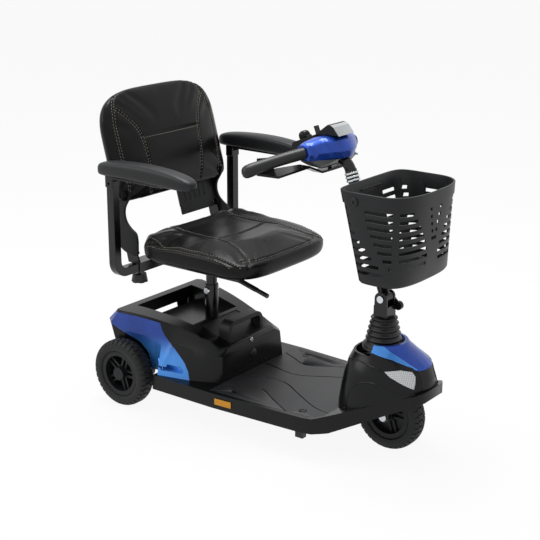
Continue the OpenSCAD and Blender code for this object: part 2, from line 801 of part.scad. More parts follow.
// Front view of the strap, an arch with rounded shoulders
module strap_plan(t) intersection() {
  union() {
    translate([-battery_y + 4 + t, 0]) square([2 * (battery_y - 4 - t), battery_handle_h - strap_r]);
    translate([-battery_y + 4 + strap_r, 0]) square([2 * (battery_y - 4 - strap_r), battery_handle_h - t]);
    for (s = [-1, 1]) translate([s * (battery_y - 4 - strap_r), battery_handle_h - strap_r])
      circle(strap_r - t);
  }
  translate([-far / 2, -30]) square([far, far]);
}
module battery_case() color(BLACK) from_axle() union() {
  difference() {
    across(-battery_y, battery_y) battery_side(0);
    across(-battery_y + cell_wall, battery_y - cell_wall) battery_side(cell_wall);
  }
  translate([strap_x, 0, strap_z - 2]) rotate([90, 0, 90]) linear_extrude(battery_handle_d) difference() {
    union() { strap_plan(0); translate([-battery_y + 4, -14]) square([2 * battery_y - 8, 16]); }
    strap_plan(battery_handle_t);
    translate([-battery_y + 4 + battery_handle_t, -40])
      square([2 * (battery_y - 4 - battery_handle_t), 42]);
  }
}
cell_l = (battery_l - 2 * cell_wall - 3 * seat_gap) / 2;
module battery_cells() color(GREY) from_axle() for (i = [0, 1]) {
  x = battery_back + cell_wall + seat_gap + i * (cell_l + seat_gap);
  block([x, -battery_y + cell_wall + seat_gap, battery_low + cell_wall + seat_gap],
    [x + cell_l, battery_y - cell_wall - seat_gap, battery_top(battery_front) - 3 * cell_wall]);
}

// Seat post

post_low = rail_high + seat_gap;
module at_post() from_axle() translate([post_x, 0, 0]) children();
module seat_post_tube() color(BLACK) at_post() difference() {
  translate([0, 0, post_low]) cylinder(r = post_r, h = post_top - post_low);
  translate([0, 0, post_low + 30]) cylinder(r = inner_post_r + run_gap, h = far);
  rod(0, -far, far, post_bolt_z, post_bolt_r + fit_gap);
}
bolt_head_r = 9;
bolt_head_t = 6;
module seat_post_bolt() color(STEEL) at_post() {
  rod(0, -post_r - bolt_head_t, post_r + bolt_head_t, post_bolt_z, post_bolt_r);
  for (s = [-1, 1]) on_side(s) rod(0, post_r + seat_gap, post_r + bolt_head_t, post_bolt_z, bolt_head_r);
}
inner_low = post_bolt_z - seat_lift - 30;
flange_r = 30;
flange_t = 7;
spindle_h = 24;
slot_w = 2 * post_bolt_r + 2 * seat_gap;
module seat_post() color(BLACK) at_post() difference() {
  union() {
    translate([0, 0, inner_low]) cylinder(r = inner_post_r, h = swivel_z - inner_low);
    translate([0, 0, swivel_z - flange_t]) cylinder(r = flange_r, h = flange_t);
    translate([0, 0, swivel_z]) cylinder(r = swivel_r, h = spindle_h);
  }
  block([-slot_w / 2, -far, post_bolt_z - seat_lift - slot_w / 2],
    [slot_w / 2, far, post_bolt_z + slot_w / 2]);
}

// Seat base: plate, swivel hub, armrest receiver, hinge ears

plate_z = cushion_z - seat_gap - plate_t;
plate_back = arm_x + arm_tube / 2 + arm_wall;
plate_front = cushion_front - 86;
plate_y = 150;
swivel_hub_r = 27;
receiver = arm_tube + 2 * arm_wall + 2 * seat_gap;
receiver_y = 182;
ear_y = 192;
ear_t = 5;
ear_r = 17;
knob_y = receiver_y - 14;
stud_r = 5;
lever_x = post_x + 160;
swivel_lever_y = 100;
swivel_lever_z = plate_z - 9;
lever_pin_r = 4;
lug_t = 4;
module seat_base() color(BLACK) from_axle() difference() {
  union() {
    block([plate_back, -plate_y, plate_z], [plate_front, plate_y, plate_z + plate_t]);
    for (s = [-1, 1]) on_side(s) block([plate_back, plate_y - 20, plate_z - 10],
      [plate_front, plate_y - 16, plate_z]);
    translate([post_x, 0, swivel_z + seat_gap]) cylinder(r = swivel_hub_r, h = plate_z - swivel_z);
    block([arm_x - receiver / 2, -receiver_y, arm_leg_z - receiver / 2],
      [arm_x + receiver / 2, receiver_y, arm_leg_z + receiver / 2]);
    for (s = [-1, 1]) on_side(s) {
      across(ear_y, ear_y + ear_t) union() {
        translate([0, back_hinge_z]) circle(ear_r);
        polygon([[-ear_r, back_hinge_z], [arm_x - 14, plate_z], [arm_x + 30, plate_z],
          [ear_r, back_hinge_z]]);
      }
      block([arm_x - 14, plate_y - 20, plate_z], [arm_x + 30, ear_y + ear_t, plate_z + plate_t]);
      block([arm_x - 14, receiver_y - 40, arm_leg_z + receiver / 2 - 1],
        [arm_x + 14, receiver_y, plate_z + plate_t]);
    }
    for (y = [-1, 1]) translate([0, y * (9 + lug_t / 2 + seat_gap) - swivel_lever_y, 0])
      block([lever_x - 8, -lug_t / 2, swivel_lever_z - 7], [lever_x + 8, lug_t / 2, plate_z]);
  }
  block([arm_x - arm_tube / 2 - seat_gap, -far, arm_leg_z - arm_tube / 2 - seat_gap],
    [arm_x + arm_tube / 2 + seat_gap, far, arm_leg_z + arm_tube / 2 + seat_gap]);
  translate([post_x, 0, 0]) cylinder(r = swivel_r + run_gap, h = swivel_z + spindle_h + seat_gap);
  for (s = [-1, 1]) translate([arm_x, s * knob_y, 0]) cylinder(r = stud_r + run_gap, h = arm_leg_z);
  rod(0, -far, far, back_hinge_z, back_bolt_r + run_gap);
  rod(lever_x, -swivel_lever_y - 20, -swivel_lever_y + 20, swivel_lever_z, lever_pin_r + run_gap);
}

lever_l = 128;
lever_slope = 15;
module swivel_lever() color(BLACK) from_axle() translate([lever_x, -swivel_lever_y, swivel_lever_z]) {
  rotate([0, lever_slope, 0]) {
    translate([0, -9, -4]) cube([lever_l - 40, 18, 6]);
    translate([lever_l - 60, 0, -1]) rotate([0, 90, 0]) cylinder(r = 6.5, h = 60);
  }
  rod(0, -9 - lug_t - seat_gap, 9 + lug_t + seat_gap, 0, lever_pin_r);
}

// Rows of a cushion from below: share of its height, how far its sides draw in and how far its front dips
cushion_rows = [
  [0, 60, 0], [0.14, 24, 4], [0.23, 8, 6], [0.34, 0, 4], [0.6, 0, 8], [0.84, 2, 14], [0.95, 8, 19],
    [1, 20, 20]
];
cushion_mid = (cushion_back + cushion_front) / 2;
dip_x = cushion_mid + 48;
function dipped(p, dip) = p - [0, 0, dip * pow(max(0, (p.x - dip_x) / (cushion_front - dip_x)), 2)];
module seat_cushion() color(VINYL) from_axle() skin([
  for (r = cushion_rows) let (half_l = (cushion_front - cushion_back) / 2 - r[1])
    closed([for (p = egg(cushion_mid, half_l, half_l, cushion_y - r[1], cushion_z + r[0] * cushion_t, 6,
      4.4, 16))
      dipped(p, r[2])])
]);

// Backrest, drawn with its height along +X and its back towards +Z

module at_backrest() from_axle() translate([0, 0, back_hinge_z]) rotate([0, -90 - back_lean, 0]) children();
back_mid = (back_pad_low + back_pad_high) / 2;
back_half = (back_pad_high - back_pad_low) / 2;
back_rows = [[0, 120], [0.06, 50], [0.18, 14], [0.4, 0], [0.75, 4], [1, 20]];
module backrest_pad() color(VINYL) at_backrest() skin([
  for (r = back_rows)
    closed(egg(back_mid, back_half - r[1], back_half - r[1], back_y - r[1],
      r[0] * back_t - back_offset - back_t, 4.6, 4.2, 16))
]);

hinge_arm_y = ear_y + ear_t + seat_gap;
hinge_arm_t = 8;
shell_t = 8;
shell_low = back_pad_low - 4;
vent_w = 6;
vents = 5;
vent_pitch = 22;
// Side view of a hinge arm, forward upwards: a crescent from below the hinge to the pad's back
module hinge_arm() union() {
  circle(22);
  polygon(concat(
    bezier([-76, 26], [-40, -34], [60, -40], [150, -8], 8),
    [[150, back_offset - seat_gap], [96, back_offset - seat_gap]],
    bezier([70, 4], [40, 14], [0, 8], [-70, 36], 6)
  ));
}
module backrest_frame() color(GREY) at_backrest() {
  for (s = [-1, 1]) on_side(s) {
    translate([0, hinge_arm_y + hinge_arm_t, 0]) rotate([90, 0, 0]) linear_extrude(hinge_arm_t)
      mirror([0, 1]) hinge_arm();
    rod(0, ear_y - 2, hinge_arm_y + 1, 0, back_bolt_r);
  }
  translate([shell_low + 40, -hinge_arm_y - 1, -back_offset + seat_gap])
    cube([back_mid + 60 - shell_low - 40, 2 * hinge_arm_y + 2, shell_t]);
  difference() {
    block([ear_r + 3, 42, -back_offset + seat_gap],
      [shell_low + 44, hinge_arm_y + 1, -back_offset + seat_gap + shell_t]);
    for (i = [0 : vents - 1])
      block([34, 62 + i * vent_pitch, -far], [shell_low - 6, 62 + i * vent_pitch + vent_w, far]);
  }
}

// Armrests

leg_in = 42;
bend_c = arm_bend_r + arm_tube / 2;
upright_top = arm_hinge_z + 6;
// The tube's path at a given section, run past its inner end and stopped short of its top
module arm_path(size, over, short) {
  h = size / 2;
  block([arm_x - h, leg_in - over, arm_leg_z - h], [arm_x + h, arm_y - bend_c, arm_leg_z + h]);
  translate([arm_x, arm_y - bend_c, arm_leg_z + bend_c]) rotate([0, 90, 0])
    rotate_extrude(angle = 90) translate([bend_c - h, -h]) square(size);
  block([arm_x - h, arm_y - h, arm_leg_z + bend_c], [arm_x + h, arm_y + h, upright_top - short]);
}
arm_pin_r = 5;
cheek_t = 4;
cheek_y = arm_tube / 2 + seat_gap;
module armrest_tube(side) color(BLACK) from_axle() on_side(side) {
  difference() {
    arm_path(arm_tube, 0, 0);
    arm_path(arm_tube - 2 * arm_wall, 1, 30);
  }
  rod(arm_x, arm_y - cheek_y - cheek_t, arm_y + cheek_y + cheek_t, arm_hinge_z, arm_pin_r);
}

pad_z = arm_hinge_z + 19;
pad_mid = arm_x - arm_pad_back + arm_pad_l / 2;
pad_rows = [[0, 8], [0.2, 2], [0.5, 0], [0.78, 4], [0.94, 12], [1, 19]];
bracket_l = arm_pad_l - 86;
bracket_t = 4;
cheek_r = 13;
module armrest(side) color(GREY) from_axle() on_side(side) translate([0, arm_y, 0]) difference() {
  union() {
    skin([
      for (r = pad_rows) closed(egg(pad_mid, arm_pad_l / 2 - r[1], arm_pad_l / 2 - r[1],
        arm_pad_w / 2 - r[1],
        pad_z + r[0] * arm_pad_h, 4, 3, 12))
    ]);
    block([arm_x - cheek_r, -cheek_y - cheek_t, pad_z - bracket_t],
      [arm_x + bracket_l, cheek_y + cheek_t, pad_z + 1]);
    for (s = [-1, 1]) on_side(s) across(cheek_y, cheek_y + cheek_t) union() {
      translate([arm_x, arm_hinge_z]) circle(cheek_r);
      translate([arm_x - cheek_r, arm_hinge_z]) square([2 * cheek_r, pad_z - arm_hinge_z]);
    }
  }
  rod(arm_x, -far, far, arm_hinge_z, arm_pin_r + run_gap);
}

knob_top = arm_leg_z - receiver / 2 - 7;
knob_flutes = 6;
module armrest_knob(side) color(BLACK) from_axle() translate([arm_x, side * knob_y, 0]) {
  difference() {
    translate([0, 0, knob_top - knob_h]) cylinder(r1 = knob_r, r2 = knob_r - 4, h = knob_h);
    for (i = [0 : knob_flutes - 1]) rotate(i * 360 / knob_flutes) translate([knob_r + 4, 0, 0])
      cylinder(r = 7, h = far);
  }
  translate([0, 0, knob_top - 1]) cylinder(r = stud_r,
    h = arm_leg_z - arm_tube / 2 - seat_gap - knob_top + 1);
}

// Steering

leg_y = tyre_w / 2 + 5;
leg_r = 16;
yoke_low = cover_top + bellows_h + 4;
yoke_high = tiller_z - yoke_r - 1;
module steering_fork() color(BLACK) from_axle() difference() {
  union() {
    for (s = [-1, 1]) on_side(s) across(leg_y, leg_y + fork_t) union() {
      translate([wheelbase, wheel_r]) circle(leg_r);
      polygon([[wheelbase - leg_r, wheel_r], [wheelbase + leg_r, wheel_r],
        [wheelbase + leg_r - 6, crown_z + crown_t],
        [steer_x - 12, crown_z + crown_t]]);
    }
    block([steer_x - 20, -leg_y - fork_t, crown_z],
      [wheelbase + leg_r - 6, leg_y + fork_t, crown_z + crown_t]);
    translate([steer_x, 0, crown_z]) cylinder(r = stem_r, h = yoke_high - crown_z);
  }
  rod(wheelbase, -far, far, wheel_r, front_axle_r + fit_gap);
}

nut_t = 6;
module front_axle() color(STEEL) from_axle() {
  rod(wheelbase, -leg_y - fork_t - nut_t, leg_y + fork_t + nut_t, wheel_r, front_axle_r);
  for (s = [-1, 1]) on_side(s)
    rod(wheelbase, leg_y + fork_t + seat_gap, leg_y + fork_t + nut_t, wheel_r, front_axle_r + 5);
}

// Section of the bellows: ribs that step in towards the neck, with an even wall
bellows_wall = 2;
rib_d = 6;
function rib_r(k) = bellows_foot_r + (bellows_neck_r - bellows_foot_r) * k / (2 * bellows_ribs)
  - (k % 2 == 0 ? 0 : rib_d);
function rib_z(k) = bellows_h * k / (2 * bellows_ribs);
module bellows() color(RUBBER) from_axle() translate([steer_x, 0, cover_top + seat_gap]) {
  rotate_extrude() polygon(concat(
    [for (k = [0 : 2 * bellows_ribs]) [rib_r(k), rib_z(k)]],
    [for (k = [2 * bellows_ribs : -1 : 0]) [rib_r(k) - 2 * bellows_wall, rib_z(k)]]
  ));
  difference() {
    translate([0, 0, bellows_h - bellows_wall])
      cylinder(r = bellows_neck_r - bellows_wall, h = bellows_wall + 2);
    cylinder(r = stem_r + seat_gap, h = far);
  }
}

cheek_in = knuckle_y + seat_gap;
yoke_t = 6;
module hinge_yoke() color(BLACK) from_axle() difference() {
  union() {
    block([steer_x - 21, -cheek_in - yoke_t, yoke_low], [steer_x + 21, cheek_in + yoke_t, yoke_high]);
    for (s = [-1, 1]) on_side(s) across(cheek_in, cheek_in + yoke_t) union() {
      translate([steer_x, tiller_z]) circle(yoke_r);
      translate([steer_x - yoke_r, yoke_low]) square([2 * yoke_r, tiller_z - yoke_low]);
    }
  }
  translate([steer_x, 0, 0]) cylinder(r = stem_r + fit_gap, h = yoke_high);
  rod(steer_x, -far, far, tiller_z, tiller_pin_r + run_gap);
}

// Tiller

module at_tiller() from_axle() translate([steer_x, 0, tiller_z]) rotate([0, -tiller_lean, 0]) children();
tube_turn = tiller_bend + 11;
band_h = 6;
module at_bend(angle) translate([-tiller_bend_r, 0, tiller_l]) rotate([0, -angle, 0])
  translate([tiller_bend_r, 0, 0]) children();
// The tube's path at a given radius: a straight stretch, a band where the bend begins, and the bend
module tiller_path(r, band_r, start, over) {
  translate([0, 0, start]) cylinder(r = r, h = tiller_l + band_h / 3 - start);
  translate([0, 0, tiller_l]) cylinder(r = band_r, h = band_h);
  translate([-tiller_bend_r, 0, tiller_l]) rotate([90, 0, 0]) rotate(3)
    rotate_extrude(angle = tube_turn - 3 + over)
    translate([tiller_bend_r, 0]) circle(r);
}
module tiller_tube() color(BLACK) at_tiller() difference() {
  union() {
    tiller_path(tiller_r, tiller_r + 1.2, 0, 0);
    rotate([0, tiller_lean, 0]) rod(0, -knuckle_y, knuckle_y, 0, yoke_r - 2);
  }
  tiller_path(tiller_r - tiller_wall, tiller_r - tiller_wall + 0.6, 30, 1);
  rotate([0, tiller_lean, 0]) rod(0, -far, far, 0, tiller_pin_r + fit_gap);
}

lock_t = 6;
lock_y = cheek_in + yoke_t + seat_gap;
pin_head_t = 4;
pin_head_r = 10;
module tiller_hinge_pin() color(STEEL) from_axle() {
  rod(steer_x, -lock_y - pin_head_t, lock_y + lock_t + seat_gap + pin_head_t, tiller_z, tiller_pin_r);
  rod(steer_x, -lock_y - pin_head_t, -lock_y, tiller_z, pin_head_r);
  rod(steer_x, lock_y + lock_t + seat_gap, lock_y + lock_t + seat_gap + pin_head_t, tiller_z, pin_head_r);
}
lock_l = 36;
lock_r = 15;
lock_end_r = 12;
lock_turn = 44;
module tiller_lock_lever() color(BLACK) from_axle() difference() {
  union() {
    rod(steer_x, lock_y, lock_y + lock_t, tiller_z, lock_r);
    translate([steer_x, 0, tiller_z]) rotate([0, lock_turn, 0]) {
      block([0, lock_y + 1, -lock_end_r + 3], [lock_l, lock_y + lock_t - 1, lock_end_r - 3]);
      rod(lock_l, lock_y + 0.5, lock_y + 2 * lock_t, 0, lock_end_r);
    }
  }
  rod(steer_x, -far, far, tiller_z, tiller_pin_r + run_gap);
}

collar_l = 24;
collar_ribs = 3;
collar_z = tiller_l - collar_l - 1;
module tiller_collar() color(STEEL) at_tiller() translate([0, 0, collar_z]) difference() {
  union() {
    cylinder(r = tiller_r + 2, h = collar_l);
    for (i = [0 : collar_ribs - 1]) translate([0, 0, i * (collar_l - 5) / (collar_ribs - 1)])
      cylinder(r = tiller_r + 4, h = 5);
  }
  translate([0, 0, -1]) cylinder(r = tiller_r + fit_gap, h = far);
}

// Head: rows of place across, reach to the back and front of the middle, and depth below and above
// the parting line

head_rows = [[0, 53, 55, 32, 58], [0.4, 54, 34, 31, 57], [0.68, 57, 13, 20, 50], [0.88, 54, -2, 8, 44],
  [1, 47, -6, 4, 42]];
head_steps = 20;
function head_row(r, side) = let (
  x = head_x + (r[2] - r[1]) / 2, z = head_z + (r[4] - r[3]) / 2, a = (r[1] + r[2]) / 2, b = (r[3] + r[4])
    / 2)
  [for (k = [0 : head_steps - 1]) let (t = (k + 0.5) * 360 / head_steps)
    [x + a * power(sin(t), 0.72), side * r[0] * grip_y, z + b * power(cos(t), 0.72)]];
last_row = len(head_rows) - 1;
module head_form() skin(concat(
  [for (i = [last_row : -1 : 1]) head_row(head_rows[i], -1)],
  [for (i = [0 : last_row]) head_row(head_rows[i], 1)]
));
throttle_x = head_x - 18;
throttle_shaft_r = 5;
housing_y = 0.84 * grip_y;
throttle_z = head_z - 41;
shaft_top = head_z - 10;
// Room for the tube's end: a wide mouth round the bend, then a close bore
socket_gap = 0.6;
mouth_gap = 4;
socket_turn = 20;
module tiller_socket() at_tiller() {
  tiller_path(tiller_r + mouth_gap, tiller_r + mouth_gap + 1.2, tiller_l - 50, 8 - socket_turn);
  translate([-tiller_bend_r, 0, tiller_l]) rotate([90, 0, 0]) rotate(tube_turn - socket_turn)
    rotate_extrude(angle = socket_turn + 3) translate([tiller_bend_r, 0]) circle(tiller_r + socket_gap);
}
module head_housing() color("#57585a") difference() {
  from_axle() intersection() {
    head_form();
    across(-housing_y, housing_y) polygon([
      [0, head_z], [head_x + 35, head_z], [head_x + 6, head_z - 19], [head_x - 17, head_z - 33],
      [0, head_z - 33]
    ]);
  }
  tiller_socket();
  from_axle() translate([throttle_x, 0, 0]) cylinder(r = throttle_shaft_r + run_gap,
    h = shaft_top + seat_gap);
}
module head_cover() color(BLUE) difference() {
  from_axle() intersection() {
    head_form();
    block([-far, -grip_y - 1, head_z + seat_gap], [far, grip_y + 1, far]);
  }
  tiller_socket();
}

module at_grip(side) from_axle() on_side(side) translate([head_x - 24, grip_y, head_z + 20])
  rotate([0, 0, 90 + grip_sweep]) rotate([0, grip_droop, 0]) children();
module handgrips() color(RUBBER) difference() {
  for (s = [-1, 1]) at_grip(s) {
    translate([-14, 0, 0]) rotate([0, 90, 0]) cylinder(r = grip_r, h = grip_l - grip_r + 14);
    translate([grip_l - grip_r, 0, 0]) sphere(grip_r);
  }
  block([-far, -grip_y - seat_gap, 0], [far, grip_y + seat_gap, far]);
}

// Throttle lever: a blade that rises round the housing, runs under both grips and ends in upright thumb pads
throttle_t = 6;
blade_flat = 52;
blade_y = 108;
blade_rise = 23;
blade_drop = 3;
thumb_back = 36;
thumb_l = 48;
thumb_h = 45;
thumb_t = 5;
thumb_x = head_x - 24 - (throttle_y - grip_y) * tan(grip_sweep);
thumb = [thumb_x - thumb_back * cos(grip_sweep), throttle_y - thumb_back * sin(grip_sweep)];
thumb_end = [-sin(grip_sweep), cos(grip_sweep)] * thumb_l / 2;
blade_half = [
  [throttle_x + 14, 0], [throttle_x + 11, blade_y], [thumb_x + 24, throttle_y - 4], thumb + thumb_end,
  thumb - thumb_end, [throttle_x - 22, blade_y], [throttle_x - 14, 0]
];
blade_top = [
  [-throttle_y - 20, -blade_drop], [-blade_y, blade_rise], [-blade_flat, 0],
  [blade_flat, 0], [blade_y, blade_rise], [throttle_y + 20, -blade_drop]
];
module throttle_lever() color(BLACK) from_axle() {
  intersection() {
    linear_extrude(far) polygon(concat(
      blade_half, [for (i = [len(blade_half) - 2 : -1 : 1]) [blade_half[i].x, -blade_half[i].y]]));
    translate([0, 0, throttle_z + throttle_t]) rotate([90, 0, 90]) linear_extrude(far) polygon(concat(
      blade_top, [for (i = [len(blade_top) - 1 : -1 : 0]) blade_top[i] - [0, throttle_t]]));
  }
  translate([throttle_x, 0, throttle_z + 1]) cylinder(r = throttle_shaft_r, h = shaft_top - throttle_z - 1);
  for (s = [-1, 1]) on_side(s) translate([thumb.x, thumb.y, throttle_z + throttle_t / 2])
    rotate(90 + grip_sweep)
    translate([-thumb_l / 2 + 1, -thumb_t / 2, 0]) cube([thumb_l - 2, thumb_t, thumb_h]);
}

// Control panel: a face towards the rider, and a hood that rises behind it
panel_knee = [head_x - 43, head_z + 55];
panel_tail = [head_x - 114, head_z + 26];
panel_slope = atan((panel_knee.y - panel_tail.y) / (panel_knee.x - panel_tail.x));
module panel_side() polygon([
  panel_tail, panel_tail + [-6, -12], panel_tail + [2, -20], [head_x - 57, head_z + 16],
  [head_x - 54, head_z + 36], [head_x - 43, head_z + 50.5], [head_x - 35, head_z + 55],
  [head_x - 16, head_z + 58.2], [head_x, head_z + 58.6], [head_x + 33, head_z + 58.6],
  [head_x + 15, head_z + 80], [head_x + 6, head_z + 85], [head_x - 4, head_z + 85], panel_knee
]);
// A place on the panel's face, measured from its tail, with +Z square to the face
module on_panel(along, y) from_axle() translate([panel_tail.x, y, panel_tail.y])
  rotate([0, -panel_slope, 0])
  translate([along, 0, 0]) children();
dial_along = 17;
key_along = 48;
key_y = 20;
horn_y = -24;
horn_r = 8;
spindle_r = 4;
spindle_d = 9;
module control_panel() color(GREY) difference() {
  from_axle() across(-panel_w / 2, panel_w / 2) panel_side();
  on_panel(dial_along, 0) translate([0, 0, -spindle_d - seat_gap])
    cylinder(r = spindle_r + run_gap, h = far);
  on_panel(key_along, key_y) translate([0, 0, -spindle_d - seat_gap])
    cylinder(r = spindle_r + run_gap, h = far);
  on_panel(key_along, horn_y) translate([0, 0, -spindle_d - seat_gap])
    cylinder(r = horn_r + run_gap, h = far);
}
dial_flutes = 12;
module speed_dial() color(BLACK) on_panel(dial_along, 0) {
  translate([0, 0, -spindle_d]) cylinder(r = spindle_r, h = spindle_d + 2);
  translate([0, 0, seat_gap]) difference() {
    cylinder(r = dial_r, h = dial_h);
    for (i = [0 : dial_flutes - 1]) rotate(i * 360 / dial_flutes) translate([dial_r + 1, 0, -1])
      cylinder(r = 2.2, h = far);
  }
}
module ignition_key() color(STEEL) on_panel(key_along, key_y) {
  translate([0, 0, -spindle_d]) cylinder(r = spindle_r, h = spindle_d + 4);
  block([-1.5, -10, 3], [1.5, 10, 24]);
}
horn_travel = 2;
module horn_button() color("#c8a21a") on_panel(key_along, horn_y)
  translate([0, 0, -spindle_d + horn_travel]) cylinder(r = horn_r, h = spindle_d + 3);

// Basket: a leaning bowl with rows of slots, a rim and a hook at the back

basket_low = basket_z - basket_h;
// Value at a height between the floor's and the rim's
function at_height(z, floor_value, rim_value) =
  floor_value + (rim_value - floor_value) * (z - basket_low) / basket_h;
function bowl_back(z) = steer_x + at_height(z, basket_floor_back, -basket_back);
function bowl_front(z) = steer_x + at_height(z, basket_floor_front, basket_front);
function bowl_y(z) = at_height(z, basket_floor_y, basket_y);
function bowl_row(z, t) = let (half = (bowl_front(z) - bowl_back(z)) / 2)
  closed(egg(bowl_back(z) + half, half - t, half - t, bowl_y(z) - t, z, 7, 3.6, 14));
module bowl(t, low, high) skin([bowl_row(low, t), bowl_row(high, t)]);
rim_h = 32;
slot_pitch = 20;
slot_top = basket_z - 46;
// Shares of a side wall at which a row's rear slot ends and its front slot begins
function rear_end(i) = 0.08 + 0.83 * pow(i / (slot_rows - 1), 2.2);
function front_start(i) = 0.48 + 0.46 * pow(i / (slot_rows - 2), 2.2);
// Half width of the plain shield between the front slots
function shield(i) = 60 - 31 * sqrt(min(1, i / 6));
hook_y = 46;
hook_top = basket_z - 20;
hook_x = steer_x - basket_back - 6;
hook_t = 4;
plate_x = hook_x + hook_t + seat_gap;
module slot(i, x0, y0, x1, y1) let (z = slot_top - i * slot_pitch)
  block([x0, y0, z - slot_h / 2], [x1, y1, z + slot_h / 2]);
module basket_slots() for (i = [0 : slot_rows - 1]) let (z = slot_top - i * slot_pitch) {
  xb = bowl_back(z) + 14;
  xf = xb + 0.8 * (bowl_front(z) - bowl_back(z)) - 14;
  front_x = bowl_front(z) - 40;
  slot(i, xb, -far, xb + rear_end(i) * (xf - xb), far);
  if (i < slot_rows - 1) slot(i, xb + front_start(i) * (xf - xb), -far, xf, far);
  for (s = [-1, 1]) on_side(s) {
    slot(i, front_x, shield(i), far, i < slot_rows - 2 ? 0.7 * bowl_y(z) : 0.58 * bowl_y(z));
    if (i < 5) slot(i, front_x, 25 - 4.5 * i, far, 34 - 4.5 * i);
  }
}
module basket() color(GREY) from_axle() {
  difference() {
    union() {
      bowl(0, basket_low, basket_z);
      bowl(-2.5, basket_z - rim_h, basket_z);
    }
    bowl(basket_wall, basket_low + basket_wall, basket_z + 1);
    basket_slots();
  }
  block([hook_x, -hook_y, hook_top - 26], [hook_x + hook_t, hook_y, hook_top]);
  intersection() {
    block([hook_x, -hook_y, hook_top - hook_t], [hook_x + 40, hook_y, hook_top]);
    difference() {
      block([0, -far, 0], [far, far, far]);
      bowl(basket_wall - 1, basket_low, basket_z);
    }
  }
}

bracket_z = hook_top - 46;
function tiller_at(z) = steer_x - (z - tiller_z) * tan(tiller_lean);
module basket_bracket() color(BLACK) difference() {
  from_axle() {
    block([plate_x, -hook_y + 8, bracket_z], [plate_x + hook_t, hook_y - 8, hook_top - hook_t - seat_gap]);
    block([tiller_at(bracket_z) - tiller_r - 8, -tiller_r - 8, bracket_z - 24],
      [plate_x + hook_t, tiller_r + 8, bracket_z + 4]);
  }
  at_tiller() translate([0, 0, 100]) cylinder(r = tiller_r + fit_gap, h = tiller_l - 100);
}

rear_frame();
front_frame();
chassis_bearings();
transaxle();
drive_motor();
controller();
anti_tip_bracket();
anti_tip_wheels();
freewheel_lever();
rear_tyre(-1);  // rear_tyre_right
rear_rim(-1);  // rear_rim_right
rear_axle(-1);  // rear_axle_right
rear_tyre(1);  // rear_tyre_left
rear_rim(1);  // rear_rim_left
rear_axle(1);  // rear_axle_left
deck_pan();
deck_mat();
side_reflectors();
front_cover();
front_cap();
front_lenses();
rear_cover();
side_panel(-1);  // side_panel_right
side_panel(1);  // side_panel_left
battery_case();
battery_cells();
seat_post_tube();
seat_post_bolt();
seat_post();
seat_base();
seat_cushion();
swivel_lever();
backrest_frame();
backrest_pad();
armrest_tube(-1);  // armrest_tube_right
armrest(-1);  // armrest_right
armrest_knob(-1);  // armrest_knob_right
armrest_tube(1);  // armrest_tube_left
armrest(1);  // armrest_left
armrest_knob(1);  // armrest_knob_left
steering_fork();
front_axle();
front_rim();
front_tyre();
hinge_yoke();
bellows();
tiller_tube();
tiller_hinge_pin();
tiller_lock_lever();
tiller_collar();
head_housing();
head_cover();
handgrips();
control_panel();
speed_dial();
ignition_key();
horn_button();
throttle_lever();
basket_bracket();
basket();
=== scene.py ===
"""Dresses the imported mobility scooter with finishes, soft goods, tyres and mouldings, in a plain studio."""

import json
import math

import bmesh
import bpy
from bpy.props import FloatProperty, IntProperty, PointerProperty, StringProperty
from mathutils import Matrix, Vector
from mathutils.bvhtree import BVHTree
from mathutils.kdtree import KDTree


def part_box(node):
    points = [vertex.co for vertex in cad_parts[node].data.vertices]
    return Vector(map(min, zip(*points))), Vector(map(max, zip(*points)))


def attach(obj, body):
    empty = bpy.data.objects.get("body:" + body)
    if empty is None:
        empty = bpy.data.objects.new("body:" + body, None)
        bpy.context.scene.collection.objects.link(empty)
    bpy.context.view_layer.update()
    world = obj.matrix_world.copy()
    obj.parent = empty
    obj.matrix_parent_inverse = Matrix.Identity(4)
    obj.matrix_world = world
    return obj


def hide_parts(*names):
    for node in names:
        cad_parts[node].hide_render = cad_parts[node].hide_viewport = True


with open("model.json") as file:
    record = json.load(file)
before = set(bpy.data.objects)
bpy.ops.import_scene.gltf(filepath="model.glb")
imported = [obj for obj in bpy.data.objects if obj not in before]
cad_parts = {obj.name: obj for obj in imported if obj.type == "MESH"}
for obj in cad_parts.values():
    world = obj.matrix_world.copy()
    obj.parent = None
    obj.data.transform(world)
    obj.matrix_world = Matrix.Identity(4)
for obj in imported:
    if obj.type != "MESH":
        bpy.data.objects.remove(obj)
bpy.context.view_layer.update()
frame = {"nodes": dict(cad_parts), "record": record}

bl_info = {
    "name": "Mobility scooter dressing",
    "version": (1, 0, 0),
    "blender": (4, 5, 0),
    "location": "3D View > Sidebar > Scooter",
    "description": "Finishes, soft goods and studio for a three-wheeled travel mobility scooter",
    "category": "Object",
}

MM = 0.001
FULL_TURN = 2 * math.pi
UP = Vector((0, 0, 1))
AHEAD = Vector((1, 0, 0))
# The rear axle stands this far from the part's middle, in millimetres
AXLE_X = -405.0
# Size of the slow clouds in every finish, in millimetres
CLOUDS = 1000 / 14
# Frames that a cover's stuffing takes to settle
SETTLE = 20
# Half a stitch's length as a share of the pitch
STITCH_SHARE = 0.36
# Share of the paper that is seen as plain white, the rest taking the shadow
PAPER_WHITE = 0.92
BODY_OF = {node: body for body, nodes in frame["record"]["behaviour"]["bodies"].items() for node in nodes}
FINISH = {}


def place(x, y, z):
    """A point of the part's frame from millimetres measured at the rear axle on the ground."""
    return Vector(((x + AXLE_X) * MM, y * MM, z * MM))


def linear(code):
    """An sRGB hex colour as linear red, green, blue and alpha."""
    parts = [int(code[i : i + 2], 16) / 255 for i in (1, 3, 5)]
    return [p / 12.92 if p <= 0.04045 else ((p + 0.055) / 1.055) ** 2.4 for p in parts] + [1.0]


